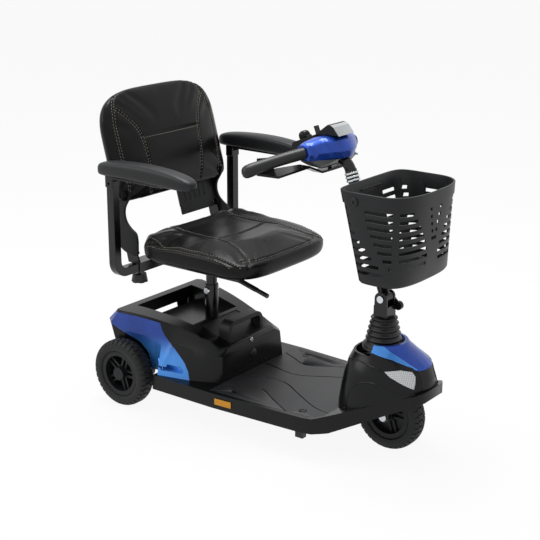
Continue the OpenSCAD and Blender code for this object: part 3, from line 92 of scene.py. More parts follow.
def add(tree, kind, settings=None, feeds=(), **links):
    """Adds a node, sets its values, and links outputs to its first sockets and to those named."""
    node = tree.nodes.new(kind)
    for key, value in (settings or {}).items():
        if key in node.inputs:
            node.inputs[key].default_value = value
        else:
            setattr(node, key, value)
    named = [(node.inputs[key.replace("_", " ")], link) for key, link in links.items()]
    for socket, (source, output) in [*zip(node.inputs, feeds), *named]:
        tree.links.new(source.outputs[output], socket)
    return node


def blank(name):
    """The empty node tree of a new finish."""
    material = bpy.data.materials.new(name)
    material.use_nodes = True
    material.node_tree.nodes.clear()
    FINISH[name] = material
    return material.node_tree


def finish(name, colour, rough, grain, depth, vary=0.15, painted_light_fade=None, pattern="ShaderNodeTexNoise", **settings):
    """A surface whose grain is a given size in millimetres, with a slow drift of its tone and roughness.

    The painted light, if given, is the colour below a height in millimetres, that height, and the height at
    which it has gone: a paler colour painted low on a surface as a painted highlight.
    The settings are the shader's other sockets.
    """
    tree = blank(name)
    here = add(tree, "ShaderNodeTexCoord")
    clouds = {"Scale": 1 / (CLOUDS * MM), "Detail": 3.0}
    drift = add(tree, "ShaderNodeTexNoise", clouds, Vector=(here, "Object"))
    texture = add(tree, pattern, {"Scale": 1 / (grain * MM)}, Vector=(here, "Object"))
    low = linear(colour)
    high = [min(1.0, c * (1 + 2 * vary)) for c in low[:3]] + [1.0]
    ramp = add(tree, "ShaderNodeValToRGB", Fac=(drift, "Fac"))
    for stop, position, tone in zip(ramp.color_ramp.elements, (0.35, 0.7), (low, high)):
        stop.position = position
        stop.color = tone
    shade = (ramp, "Color")
    # Painted light: under the given heights the colour goes over to a paler one, which stands for light
    # caught low on the surface
    if painted_light_fade:
        under, start, end = painted_light_fade
        split = add(tree, "ShaderNodeSeparateXYZ", Vector=(here, "Object"))
        heights = {"From Min": start * MM, "From Max": end * MM, "interpolation_type": "SMOOTHSTEP"}
        share = add(tree, "ShaderNodeMapRange", heights, Value=(split, "Z"))
        blend = add(tree, "ShaderNodeMixRGB", {"Color1": linear(under)}, Fac=(share, "Result"), Color2=shade)
        shade = (blend, "Color")
    span = {"To Min": rough * (1 - vary), "To Max": min(1.0, rough * (1 + vary))}
    spread = add(tree, "ShaderNodeMapRange", span, Value=(drift, "Fac"))
    height = (texture, "Distance" if pattern == "ShaderNodeTexVoronoi" else "Fac")
    bump = add(tree, "ShaderNodeBump", {"Strength": depth, "Distance": grain * MM * 0.5}, Height=height)
    still = {key.replace("_", " "): value for key, value in settings.items()}
    shader = add(tree, "ShaderNodeBsdfPrincipled", still, Base_Color=shade, Roughness=(spread, "Result"),
                 Normal=(bump, "Normal"))
    add(tree, "ShaderNodeOutputMaterial", Surface=(shader, "BSDF"))


def lens_finish(name, colour, pitch):
    """Clear acrylic over a grid of prisms a few millimetres apart."""
    tree = blank(name)
    here = add(tree, "ShaderNodeTexCoord")
    bands = []
    for direction in ("X", "Z"):
        # A wave texture repeats every 2 pi / 20 of its scaled coordinate
        settings = {"bands_direction": direction, "Scale": math.pi / 10 / (pitch * MM)}
        bands.append((add(tree, "ShaderNodeTexWave", settings, Vector=(here, "Object")), "Fac"))
    grid = add(tree, "ShaderNodeMath", {"operation": "MINIMUM"}, bands)
    ramp = add(tree, "ShaderNodeValToRGB", Fac=(grid, "Value"))
    bright = linear(colour)
    dim = [c * 0.45 for c in bright[:3]] + [1.0]
    for stop, position, tone in zip(ramp.color_ramp.elements, (0.0, 0.22), (dim, bright)):
        stop.position = position
        stop.color = tone
    bump = add(tree, "ShaderNodeBump", {"Strength": 0.5, "Distance": 0.5 * MM}, Height=(grid, "Value"))
    gloss = {"Roughness": 0.14, "Coat Weight": 0.8, "Coat Roughness": 0.05}
    shader = add(tree, "ShaderNodeBsdfPrincipled", gloss, Base_Color=(ramp, "Color"), Normal=(bump, "Normal"))
    add(tree, "ShaderNodeOutputMaterial", Surface=(shader, "BSDF"))


def background_rays(tree):
    """A node that gives 1 to the rays that should see a white background, and 0 to the others."""
    path = add(tree, "ShaderNodeLightPath")
    most = {"operation": "MAXIMUM"}
    seen = add(tree, "ShaderNodeMath", most, [(path, "Is Camera Ray"), (path, "Is Glossy Ray")])
    return add(tree, "ShaderNodeMath", most, [(seen, "Value"), (path, "Is Transmission Ray")])


def ring(bm, points):
    """A closed loop of edges through the points."""
    verts = [bm.verts.new(p) for p in points]
    return [bm.edges.new((verts[i], verts[(i + 1) % len(verts)])) for i in range(len(verts))]


def loft(rows):
    """A closed form over a stack of outlines."""
    bm = bmesh.new()
    rings = [ring(bm, row) for row in rows]
    for low, high in zip(rings, rings[1:]):
        bmesh.ops.bridge_loops(bm, edges=low + high)
    for end in (rings[0], rings[-1]):
        bmesh.ops.contextual_create(bm, geom=end)
    bmesh.ops.recalc_face_normals(bm, faces=bm.faces)
    return bm


def share_of(value, start, end):
    """How far a value has come from a start to an end, held between 0 and 1."""
    return min(1.0, max(0.0, (value - start) / (end - start)))


def power(value, exponent):
    """A power that keeps the sign."""
    return math.copysign(abs(value) ** exponent, value)


def oval(count, back, front, side, square_back, square_front):
    """Points of a squared oval as (ahead, across)."""
    points = []
    for k in range(count):
        a = FULL_TURN * (k + 0.5) / count
        ahead, across = math.cos(a), math.sin(a)
        e = 2 / (square_back if ahead < 0 else square_front)
        points.append(((back if ahead < 0 else front) * power(ahead, e), side * power(across, e)))
    return points


def smooth_line(points, step):
    """A curve through 2D or 3D points, sampled about every step."""
    points = [Vector(p) for p in points]
    ends = [2 * points[0] - points[1]] + points + [2 * points[-1] - points[-2]]
    out = []
    for a, b, c, d in zip(ends, ends[1:], ends[2:], ends[3:]):
        bend = 2 * a - 5 * b + 4 * c - d
        twist = 3 * b - a - 3 * c + d
        count = max(2, int((c - b).length / step))
        for k in range(count):
            t = k / count
            out.append(0.5 * (2 * b + (c - a) * t + bend * t**2 + twist * t**3))
    return out + [points[-1]]


def mirrored(points, side, step=3):
    """A smooth line through 2D points, on the side given by 1 or -1 in their second value."""
    return smooth_line([(a, side * b) for a, b in points], step)


def beside(points, distance):
    """A 2D line set to one side of another."""
    out = []
    for i, p in enumerate(points):
        along = points[min(i + 1, len(points) - 1)] - points[max(i - 1, 0)]
        out.append(p + Vector((-along.y, along.x)).normalized() * distance)
    return out


def both_sides(points):
    """A line in millimetres at the rear axle, and its mirror image."""
    return [[place(x, side * y, z) for x, y, z in points] for side in (1, -1)]


def around(middle, turn, radius, sides):
    """Points of a circle across the turned X axis."""
    angles = [FULL_TURN * k / sides for k in range(sides)]
    return [middle + turn @ Vector((0, math.cos(a), math.sin(a))) * radius for a in angles]


def to_mesh(name, bm):
    """A mesh from a bmesh that is then done with."""
    mesh = bpy.data.meshes.new(name)
    bm.to_mesh(mesh)
    bm.free()
    return mesh


def show(name, form, node, finish_name, stands=False, slot=None, sharp=35, edge=0.0, rounds=0, second=None):
    """Puts a form in the scene as a piece on a node's body. The slot argument is not used.

    A piece that stands for the node replaces it. A second finish is given with a test of a face's middle,
    in millimetres at the rear axle, and normal.
    """
    mesh = to_mesh(name, form)
    mesh.shade_smooth()
    mesh.set_sharp_from_angle(angle=math.radians(sharp))
    mesh.materials.append(FINISH[finish_name])
    if second:
        mesh.materials.append(FINISH[second[0]])
        for face in mesh.polygons:
            face.material_index = int(second[1](face.center / MM - Vector((AXLE_X, 0, 0)), face.normal))
    obj = bpy.data.objects.new(name, mesh)
    bpy.context.scene.collection.objects.link(obj)
    if edge:
        bevel = obj.modifiers.new("eased_edges", "BEVEL")
        bevel.width = edge * MM
        bevel.segments = 2
        bevel.limit_method = "ANGLE"
        bevel.angle_limit = math.radians(40)
        bevel.harden_normals = True
    if rounds:
        smooth = obj.modifiers.new("rounded", "SUBSURF")
        smooth.levels = rounds
        smooth.render_levels = rounds
    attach(obj, BODY_OF[node])
    if stands:
        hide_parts(node)
    return obj


def merged_copy(node):
    """A node's form with its triangles joined and its flat faces whole."""
    bm = bmesh.new()
    bm.from_mesh(frame["nodes"][node].data)
    bmesh.ops.remove_doubles(bm, verts=bm.verts, dist=2e-6)
    bmesh.ops.dissolve_limit(bm, angle_limit=math.radians(0.4), verts=bm.verts, edges=bm.edges)
    return bm


def dress(node, finish_name, edge, form=None, **options):
    """A rigid node with eased edges and a better finish."""
    show(node + "_dressed", form or merged_copy(node), node, finish_name, True, edge=edge, **options)


def middle_of(node):
    """The middle of a node's box."""
    low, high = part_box(node)
    return (low + high) / 2


def tube(lines, radius, sides=10):
    """Round bars along lines of points."""
    bm = bmesh.new()
    for line in lines:
        rows = []
        for i, p in enumerate(line):
            along = (line[min(i + 1, len(line) - 1)] - line[max(i - 1, 0)]).normalized()
            turn = along.to_track_quat("X", "Z").to_matrix()
            rows.append([bm.verts.new(q) for q in around(p, turn, radius, sides)])
        for low, high in zip(rows, rows[1:]):
            for k in range(sides):
                bm.faces.new((low[k - 1], low[k], high[k], high[k - 1]))
        bm.faces.new(rows[0])
        bm.faces.new(rows[-1])
    bmesh.ops.recalc_face_normals(bm, faces=bm.faces)
    return bm


def turned(profile, at, axis, steps=32):
    """A form turned from a profile of (radius, height) in millimetres, standing at a point along an axis."""
    bm = bmesh.new()
    verts = [bm.verts.new((r * MM, 0, h * MM)) for r, h in profile]
    edges = [bm.edges.new(pair) for pair in zip(verts, verts[1:])]
    bmesh.ops.spin(bm, geom=edges + verts, cent=(0, 0, 0), axis=UP, angle=FULL_TURN, steps=steps,
                   use_merge=True)
    bmesh.ops.remove_doubles(bm, verts=bm.verts, dist=1e-6)
    bmesh.ops.recalc_face_normals(bm, faces=bm.faces)
    turn = Vector(axis).to_track_quat("Z", "X").to_matrix().to_4x4()
    bmesh.ops.transform(bm, matrix=Matrix.Translation(at) @ turn, verts=bm.verts)
    return bm


def block(bm, at, *size):
    """Adds a box of a size in millimetres at a place given as a matrix."""
    bmesh.ops.create_cube(bm, size=1, matrix=at @ Matrix.Diagonal([s * MM for s in size] + [1]))


def joined(forms):
    """Several forms in one."""
    whole = bmesh.new()
    for form in forms:
        whole.from_mesh(to_mesh("form", form))
    return whole


def carved(form, cutter):
    """A form with another one cut out of it."""
    pair = []
    for bm in (form, cutter):
        obj = bpy.data.objects.new("carving", to_mesh("carving", bm))
        bpy.context.scene.collection.objects.link(obj)
        pair.append(obj)
    cut = pair[0].modifiers.new("cut", "BOOLEAN")
    cut.operation = "DIFFERENCE"
    cut.solver = "EXACT"
    cut.object = pair[1]
    graph = bpy.context.evaluated_depsgraph_get()
    mesh = bpy.data.meshes.new_from_object(pair[0].evaluated_get(graph))
    for obj in pair:
        bpy.data.objects.remove(obj)
    bm = bmesh.new()
    bm.from_mesh(mesh)
    return bm


class ScooterSizes(bpy.types.PropertyGroup):
    """Sizes of the dressing"""

    tread_depth: FloatProperty(
        name="Tread depth", description="Height of a tread block", default=0.003, unit="LENGTH")
    tread_blocks: IntProperty(
        name="Tread blocks", description="Blocks in one row round a tyre", default=36)
    voxel: FloatProperty(
        name="Cover mesh", description="Mesh size of a stuffed cover", default=0.0055, unit="LENGTH")
    swell: FloatProperty(
        name="Swell", description="Furthest that stuffing moves a cover", default=0.022, unit="LENGTH")
    pressure: FloatProperty(
        name="Pressure", description="Pressure of the stuffing in a cover", default=4.0)
    seam_width: FloatProperty(
        name="Seam width", description="Half width of the valley at a seam", default=0.008, unit="LENGTH")
    seam_depth: FloatProperty(
        name="Seam depth", description="Depth of the valley at a seam", default=0.0035, unit="LENGTH")
    stitch_pitch: FloatProperty(
        name="Stitch pitch", description="Distance from stitch to stitch", default=0.0075, unit="LENGTH")
    stitch_width: FloatProperty(
        name="Thread", description="Width of the sewing thread", default=0.0015, unit="LENGTH")


class ScooterColours(bpy.types.PropertyGroup):
    """Colours of the finishes, as sRGB hex"""

    vinyl: StringProperty(name="Vinyl", description="Seat and backrest covers", default="#0b0b0c")
    thread: StringProperty(name="Thread", description="Stitching of the covers", default="#8f887a")
    satin_black: StringProperty(name="Satin black", description="Smooth black mouldings", default="#0c0d0e")
    grained: StringProperty(name="Grained grey", description="Grained dark mouldings", default="#1b1c1e")
    housing: StringProperty(name="Housing grey", description="Lower head housing", default="#5a5c5e")
    # A darker copy of the blue lacquer, painted shade on the upper side panels
    blue: StringProperty(name="Blue", description="Metallic blue panels", default="#18409c")
    shaded_panel_blue: StringProperty(name="Deep blue", description="Upper side panels", default="#203d8a")
    enamel: StringProperty(name="Enamel", description="Gloss black tubes", default="#08080a")
    zinc: StringProperty(name="Zinc", description="Bare bolts, pins and shafts", default="#c2c5c8")
    casting: StringProperty(name="Casting", description="Gear case and bearings", default="#8d9094")
    tyre: StringProperty(name="Tyre", description="Solid tyres", default="#131415")
    grip: StringProperty(name="Grip", description="Grips and bellows", default="#0f1011")
    foam: StringProperty(name="Arm foam", description="Skinned foam of the arm pads", default="#1b1c1e")
    mat: StringProperty(name="Mat", description="Ribbed deck mat", default="#232427")
    basket: StringProperty(name="Basket", description="Charcoal basket", default="#1a1b1d")
    amber: StringProperty(name="Amber", description="Side reflectors", default="#d08c00")
    lens: StringProperty(name="Lens", description="White front lenses", default="#e9ecee")
    silver: StringProperty(name="Silver", description="Front of the control panel's hood", default="#a9acae")
    # Paler blue of the painted highlights on the cap's scallops, the panels' scoops and the panels' feet
    painted_highlight_blue: StringProperty(name="Light blue", description="Scallop of the front cap", default="#4488d6")
    red: StringProperty(name="Red", description="Free-wheel lever", default="#a81f1a")


class ScooterStudio(bpy.types.PropertyGroup):
    """Camera and light"""

    lens: FloatProperty(name="Lens", description="Focal length on a 36 mm film", default=81.93)
    sky: FloatProperty(name="Sky", description="Strength of the even light", default=0.4)
    key: FloatProperty(name="Key", description="Power of the large lamp", default=110.0, subtype="POWER")
    fill: FloatProperty(name="Fill", description="Power of the second lamp", default=30.0, subtype="POWER")


class SCOOTER_OT_finishes(bpy.types.Operator):
    """Makes every finish of the scooter"""

    bl_idname = "scooter.finishes"
    bl_label = "Finishes"

    def execute(self, context):
        c = context.scene.scooter_colours
        cells = "ShaderNodeTexVoronoi"
        # Calendered PVC upholstery: a soft sheen over a pebbled grain, drawn at 2.4 mm so that it shows
        finish("upholstery_vinyl", c.vinyl, 0.3, 2.4, 0.1, 0.14, pattern=cells, Specular_IOR_Level=0.16)
        # Bonded polyester thread: dull, twisted
        finish("sewing_thread", c.thread, 0.8, 0.8, 0.3)
        # Injection-moulded ABS from a polished tool: a clear but slightly broken reflection
        finish("polished_abs", c.satin_black, 0.25, 4.0, 0.025, 0.14, Specular_IOR_Level=0.22)
        # ABS from a spark-eroded tool: matt with an even fine grain, drawn at 1.6 mm so that it shows
        finish("grained_abs", c.grained, 0.46, 1.6, 0.14, 0.12, Specular_IOR_Level=0.22)
        # Mid-grey ABS from the same kind of tool: a little livelier, so that the housing reads as grey
        finish("housing_abs", c.housing, 0.45, 1.6, 0.12, 0.1, Specular_IOR_Level=0.4)
        # ABS sprayed with aluminium paint: a soft metallic sheen with a faint grit
        finish("silver_abs", c.silver, 0.4, 1.2, 0.2, 0.1, Metallic=0.3)
        # Metallic lacquer: flakes under a clear coat, drawn at 1.5 mm so that they show
        lacquer = {"Metallic": 0.45, "Specular_IOR_Level": 0.25, "Coat_Weight": 0.35, "Coat_Roughness": 0.06}
        finish("metallic_lacquer", c.blue, 0.38, 1.5, 0.05, 0.2, **lacquer)
        # The same lacquer in a paler blue, a painted highlight for the scallops and scoops
        finish("painted_highlight_lacquer", c.painted_highlight_blue, 0.38, 1.5, 0.05, 0.2, **lacquer)
        # The side panels: a darker blue above as painted shade, going over between 222 mm and 165 mm to the
        # paler blue below as a painted highlight where their foot flares
        finish("side_lacquer_painted_light", c.shaded_panel_blue, 0.38, 1.5, 0.05, 0.2, (c.painted_highlight_blue, 165, 222), **lacquer)
        # Stoved enamel on steel tube: glossy with a little orange peel
        finish("stoved_enamel", c.enamel, 0.2, 5.0, 0.03, Specular_IOR_Level=0.4)
        # Zinc-plated steel: bright, faintly clouded
        finish("zinc_plate", c.zinc, 0.22, 2.0, 0.04, 0.2, Metallic=1.0)
        # Die-cast aluminium: grey, dull and slightly rough
        finish("die_cast_alloy", c.casting, 0.5, 1.5, 0.2, 0.15, Metallic=0.9)
        # Solid polyurethane-filled tyre: dull black with a dusty drift
        finish("tyre_rubber", c.tyre, 0.62, 2.0, 0.1, 0.2, Specular_IOR_Level=0.34)
        # Moulded synthetic rubber: softer gloss than the tyres
        finish("moulded_rubber", c.grip, 0.4, 1.6, 0.06, Specular_IOR_Level=0.4)
        # Self-skinned polyurethane foam: leathery skin with a satin sheen
        finish("skinned_foam", c.foam, 0.42, 2.2, 0.08, 0.1, pattern=cells, Specular_IOR_Level=0.3)
        # Pressed rubber mat: dark grey and pebbled, with a broad soft shine
        finish("mat_rubber", c.mat, 0.46, 1.8, 0.14, 0.12, Specular_IOR_Level=0.42)
        # Glass-filled nylon basket: even satin grain
        finish("basket_nylon", c.basket, 0.42, 1.8, 0.07, 0.1, Specular_IOR_Level=0.3)
        # Acrylic reflectors: clear gloss over a field of small prisms
        finish("amber_acrylic", c.amber, 0.28, 3.0, 0.5, 0.1, pattern=cells, Specular_IOR_Level=0.4)
        lens_finish("white_acrylic", c.lens, 4.5)
        # Moulded nylon: plain red with a satin face
        finish("red_nylon", c.red, 0.4, 2.0, 0.1)
        return {"FINISHED"}


# Rigid pieces that keep their solid's form: node, finish, radius of its eased edges in millimetres
RIGID = (
    ("rear_frame", "stoved_enamel", 1.0),
    ("front_frame", "stoved_enamel", 1.0),
    ("chassis_bearings", "die_cast_alloy", 0.0),
    ("transaxle", "die_cast_alloy", 0.0),
    ("drive_motor", "stoved_enamel", 0.8),
    ("controller", "die_cast_alloy", 0.8),
    ("anti_tip_bracket", "stoved_enamel", 0.8),
    ("anti_tip_wheels", "moulded_rubber", 1.5),
    ("freewheel_lever", "red_nylon", 1.0),
    ("rear_rim_right", "grained_abs", 1.2),
    ("rear_axle_right", "zinc_plate", 0.0),
    ("rear_rim_left", "grained_abs", 1.2),
    ("rear_axle_left", "zinc_plate", 0.0),
    ("deck_pan", "polished_abs", 1.5),
    ("side_reflectors", "amber_acrylic", 0.8),
    ("front_lenses", "white_acrylic", 1.0),
    ("battery_case", "grained_abs", 2.0),
    ("battery_cells", "grained_abs", 1.0),
    ("seat_post_tube", "stoved_enamel", 0.6),
    ("seat_post_bolt", "zinc_plate", 0.6),
    ("seat_post", "stoved_enamel", 0.6),
    ("seat_base", "stoved_enamel", 0.8),
    ("swivel_lever", "moulded_rubber", 1.0),
    ("backrest_frame", "grained_abs", 1.5),
    ("armrest_tube_right", "stoved_enamel", 1.5),
    ("armrest_tube_left", "stoved_enamel", 1.5),
    ("armrest_knob_right", "moulded_rubber", 1.5),
    ("armrest_knob_left", "moulded_rubber", 1.5),
    ("steering_fork", "stoved_enamel", 0.8),
    ("front_axle", "zinc_plate", 0.0),
    ("front_rim", "grained_abs", 1.2),
    ("hinge_yoke", "stoved_enamel", 1.2),
    ("bellows", "moulded_rubber", 1.0),
    ("tiller_tube", "stoved_enamel", 0.0),
    ("tiller_hinge_pin", "zinc_plate", 0.6),
    ("tiller_lock_lever", "polished_abs", 1.0),
    ("head_housing", "housing_abs", 1.5),
    ("ignition_key", "grained_abs", 1.5),
    ("horn_button", "moulded_rubber", 0.8),
    ("throttle_lever", "polished_abs", 1.5),
    ("basket_bracket", "stoved_enamel", 1.0),
)


class SCOOTER_OT_rigid(bpy.types.Operator):
    """Eases the edges of the rigid pieces and gives them their finish"""

    bl_idname = "scooter.rigid"
    bl_label = "Rigid pieces"

    def execute(self, context):
        for node, finish_name, edge in RIGID:
            dress(node, finish_name, edge)
        return {"FINISHED"}


class SCOOTER_OT_deck(bpy.types.Operator):
    """Cuts the grooves and sockets of the deck mat and sets its plugs"""

    bl_idname = "scooter.deck"
    bl_label = "Deck mat"

    def execute(self, context):
        top = 116
        inner = [(296, 56), (356, 44), (401, 33), (433, 32), (468, 43), (530, 80), (607, 123), (657, 136),
                 (720, 140)]
        outer = [(296, 162), (353, 137), (405, 113), (437, 117), (493, 152), (558, 189), (580, 200)]
        lines = []
        for line in (inner, outer):
            lines += both_sides([(p.x, p.y, top + 0.2) for p in smooth_line(line, 6)])
        spots = [place(x, side * y, top) for x, y in ((604, 165), (375, 172)) for side in (-1, 1)]
        sockets = [turned([(0, -1.6), (11, -1.6), (12, 3), (0, 3)], spot, UP) for spot in spots]
        mat = carved(carved(merged_copy("deck_mat"), tube(lines, 2.1 * MM)), joined(sockets))
        # Every face below the mat's top, its grooves and sockets among them, takes the darker polished black
        # as painted shade in the recesses
        dress("deck_mat", "mat_rubber", 0.0, mat,
              second=("polished_abs", lambda at, normal: at.z < top - 0.05))
        dome = [(8.5, -1.8), (8.5, -0.9), (7.6, -0.3), (4.2, -0.1), (3.6, -0.8), (0, -0.8)]
        show("deck_plugs", joined([turned(dome, spot, UP) for spot in spots]), "deck_pan", "polished_abs")
        return {"FINISHED"}


class SCOOTER_OT_rear(bpy.types.Operator):
    """Finishes the rear cover with its lock and charging cap, and the blue panels with their scoops"""

    bl_idname = "scooter.rear"
    bl_label = "Rear covers"

    def execute(self, context):
        dress("rear_cover", "polished_abs", 2.5)
        lock = turned([(0, 3), (2.2, 3), (2.4, 4.2), (6, 4.2), (7, 3.4), (7, -4)], place(299, 0, 203), AHEAD)
        show("battery_lock", lock, "rear_cover", "zinc_plate", slot="steel")
        cap = turned([(0, 3.2), (9, 3.0), (12.5, 2.0), (14, 0), (14, -5)], place(305, 4, 160), AHEAD)
        screw = turned([(0, 1.2), (2.5, 1.2), (3.2, 0.4), (3.2, -5)], place(308, 58, 128), AHEAD)
        show("charging_cap", joined([cap, screw]), "rear_cover", "moulded_rubber", slot="rubber")
        # Scoop low on each panel: corners along, up and across, deep at its back and running out ahead
        corners = [(98, 150, 176), (192, 146, 187), (190, 131, 187), (128, 130, 176)]
        middle_x, middle_z = 150, 140
        outside = 260
        # How far the cut reaches past the panel, how thick the scoop's wall is and how far it lies back
        reach, wall, back = 12, 4, -2.5
        for side, node in ((-1, "side_panel_right"), (1, "side_panel_left")):
            panel = merged_copy(node)
            tree = BVHTree.FromBMesh(panel)

            def cutter(grow, lift):
                deep = []
                wide = []
                for x, z, y in corners:
                    x += grow * (1 if x > middle_x else -1)
                    z += grow * (1 if z > middle_z else -1)
                    hit = tree.ray_cast(place(x, side * outside, z), Vector((0, -side, 0)))[0]
                    wide.append(hit + Vector((0, side * lift * MM, 0)))
                    deep.append(place(x + 10, side * (y - 2 * grow), z))
                return loft([deep, wide])

            # The panels' finish carries painted shade above and a painted highlight at the foot
            dress(node, "side_lacquer_painted_light", 1.5, carved(panel, cutter(0, reach)))
            scoop = carved(cutter(wall, back), cutter(0, reach))
            # The scoop is drawn in the paler blue as a painted highlight
            show(node + "_scoop", scoop, node, "painted_highlight_lacquer", edge=0.5)
        return {"FINISHED"}


class SCOOTER_OT_front(bpy.types.Operator):
    """Finishes the front cover with its creases, seats the bellows and paints the cap's scallops paler as a
    painted reflection
    """

    bl_idname = "scooter.front"
    bl_label = "Front covers"

    def execute(self, context):
        cover = merged_copy("front_cover")
        tree = BVHTree.FromBMesh(cover)
        arch = [(711, 128, 126), (716, 123, 160), (723, 119, 190), (735, 117, 208), (752, 115, 218),
                (775, 113, 223), (800, 108, 221), (834, 99, 210), (869, 78, 194), (890, 60, 186)]
        brow = [(690, 80, 264), (704, 86, 268), (741, 95, 270), (774, 98, 264), (805, 95, 257)]
        seam = [(880, 42, 258), (886, 34, 250), (892, 32, 234), (895, 37, 218), (894, 46, 206)]
        bead, sunk = 3, 1.4
        lines = []
        for line in (arch, brow, seam):
            for row in both_sides([tuple(p) for p in smooth_line([(x, -y, z) for x, y, z in line], 4)]):
                hits = [tree.find_nearest(p)[:2] for p in row]
                lines.append([at - normal * sunk * MM for at, normal in hits])
        dress("front_cover", "polished_abs", 1.0, cover)
        # The bellows' foot fills its seat in the cover
        middle = middle_of("bellows")
        middle.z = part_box("bellows")[0].z
        foot = turned([(51, 0.5), (57.4, 0.5), (57.4, 3.5), (54.6, 7), (56.8, 10.5), (56.2, 12), (52.5, 15.5),
                       (50, 15.5), (51, 0.5)], middle, UP, 64)
        show("bellows_foot", foot, "bellows", "moulded_rubber", sharp=50)
        show("front_creases", tube(lines, bead * MM, 16), "front_cover", "polished_abs", sharp=60)
        # Each scallop is the cap beyond a slanting line, painted paler as a painted reflection: its start,
        # half width there and slope
        start, half, slope = 792, 54, 0.19
        cap = merged_copy("front_cap")
        for side in (-1, 1):
            bmesh.ops.bisect_plane(cap, geom=cap.verts[:] + cap.edges[:] + cap.faces[:], dist=1e-6,
                                   plane_co=place(start, side * half, 300), plane_no=(slope, side, 0))
        # The cap beyond each line takes the paler blue, a painted reflection
        dress("front_cap", "metallic_lacquer", 1.0, cap,
              second=("painted_highlight_lacquer", lambda at, normal: abs(at.y) > half - slope * (at.x - start)))
        return {"FINISHED"}


class SCOOTER_OT_head(bpy.types.Operator):
    """Moulds the head cover, grips and dial, silvers the hood's front and bands the tiller's collar"""

    bl_idname = "scooter.head"
    bl_label = "Tiller head"

    def execute(self, context):
        # Rows of one half of the cover: ahead, across and up from its foot, over the top to the back
        half = (
            ((53, 0, 0), (56, 0, 20), (44, 0, 45), (22, 0, 60), (-38, 0, 54), (-55, 0, 26), (-51, 0, 0)),
            ((28, 50, 0), (31, 54, 20), (16, 60, 45), (2, 52, 59), (-41, 50, 53), (-56, 50, 26),
             (-52, 50, 0)),
            ((21, 55, 0), (24, 59, 20), (8, 66, 42), (-4, 58, 55), (-42, 55, 52), (-56, 55, 26),
             (-52, 55, 0)),
            ((6, 90, 0), (9, 92, 18), (-6, 100, 39), (-20, 95, 48), (-43, 90, 46), (-55, 90, 24),
             (-50, 90, 0)),
            ((-3, 98, 0), (-1, 98, 17), (-13, 105, 36), (-25, 101, 45), (-43, 98, 43), (-54, 98, 22),
             (-49, 98, 0)),
            ((-7, 113, 0), (-6, 113, 16), (-14, 113, 34), (-24, 113, 42), (-39, 113, 41), (-48, 113, 21),
             (-45, 113, 0)),
        )
        foot_x, foot_z = 583, 788.3
        cage = [*reversed(half[1:]), *([(x, -y, z) for x, y, z in row] for row in half)]
        bm = bmesh.new()
        crease = bm.edges.layers.float.new("crease_edge")
        verts = [[bm.verts.new(place(foot_x + x, y, foot_z + z)) for x, y, z in row] for row in cage]
        for low, high in zip(verts, verts[1:]):
            for k in range(6):
                bm.faces.new((low[k], low[k + 1], high[k + 1], high[k]))
            for k, sharp in ((1, 0.8), (2, 0.5)):
                bm.edges.get((low[k], high[k]))[crease] = sharp
        for rows, sharp in (((1, 2, 8, 9), 0.6), ((3, 4, 6, 7), 0.75)):
            for row in rows:
                bm.edges.get((verts[row][1], verts[row][2]))[crease] = sharp
                bm.edges.get((verts[row][2], verts[row][3]))[crease] = sharp / 2
        for row in (verts[0], verts[-1]):
            bm.faces.new(row)
            for a, b in zip(row, row[1:]):
                bm.edges.get((a, b))[crease] = 0.9
        bmesh.ops.recalc_face_normals(bm, faces=bm.faces)
        cover = show("head_cover_dressed", bm, "head_cover", "metallic_lacquer", True, sharp=180, rounds=3)
        shell = cover.modifiers.new("shell", "SOLIDIFY")
        shell.thickness = 2.2 * MM
        shell.offset = -1
        hood_z = 846
        dress("control_panel", "grained_abs", 2.0,
              second=("silver_abs", lambda at, normal: normal.x > 0.35 and at.z > hood_z))
        # The grips swell and droop towards their rounded ends: place along, radius and droop
        stations = ((-1, 15.5, 0), (30, 15.5, 0.1), (60, 15.5, 0.5), (90, 15.5, 1.2), (122, 15.6, 3),
                    (145, 17.5, 5.8), (158, 17, 7.2), (165, 14.6, 7.9), (169, 10, 8.3), (171, 4, 8.5))
        grips = []
        for side in (-1, 1):
            along = Vector((-0.535, side * 0.823, -0.191)).normalized()
            turn = along.to_track_quat("X", "Z").to_matrix()
            rows = []
            for t, r, droop in stations:
                rows.append(around(place(559, side * 113, 808 - droop) + along * t * MM, turn, r * MM, 28))
            grips.append(loft(rows))
        dress("handgrips", "moulded_rubber", 0, joined(grips), sharp=60)
        # The dial is domed, with a fluted skirt
        face = Vector((-0.378125, 0, 0.925755))
        low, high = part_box("speed_dial")
        r = (high.y - low.y) / 2 / MM
        foot = place(484.738, 0, 820.428)
        profile = [(0, 0.3), (r - 0.8, 0.3), (r, 2), (r, 9), (r - 1, 14), (r - 3, 18), (r * 0.5, 21.3),
                   (0, 22)]
        count = 12
        flutes = []
        for k in range(count):
            a = FULL_TURN * k / count
            aside = Vector((face.z * math.cos(a), math.sin(a), -face.x * math.cos(a))) * (r + 0.9) * MM
            flutes.append([foot + aside + face * h * MM for h in (4, 10, 16, 24)])
        knob = carved(turned(profile, foot, face, 40), tube(flutes, 2.0 * MM, 8))
        dress("speed_dial", "polished_abs", 0.5, knob)
        # The collar's bands stand out past its core
        core = 18.6
        middle = middle_of("tiller_collar")
        lean = math.radians(19.8)
        along = Vector((-math.sin(lean), 0, math.cos(lean)))

        def band(at, normal):
            arm = place(at.x, at.y, at.z) - middle
            return (arm - along * arm.dot(along)).length > core * MM

        dress("tiller_collar", "stoved_enamel", 0.6, second=("zinc_plate", band))
        return {"FINISHED"}


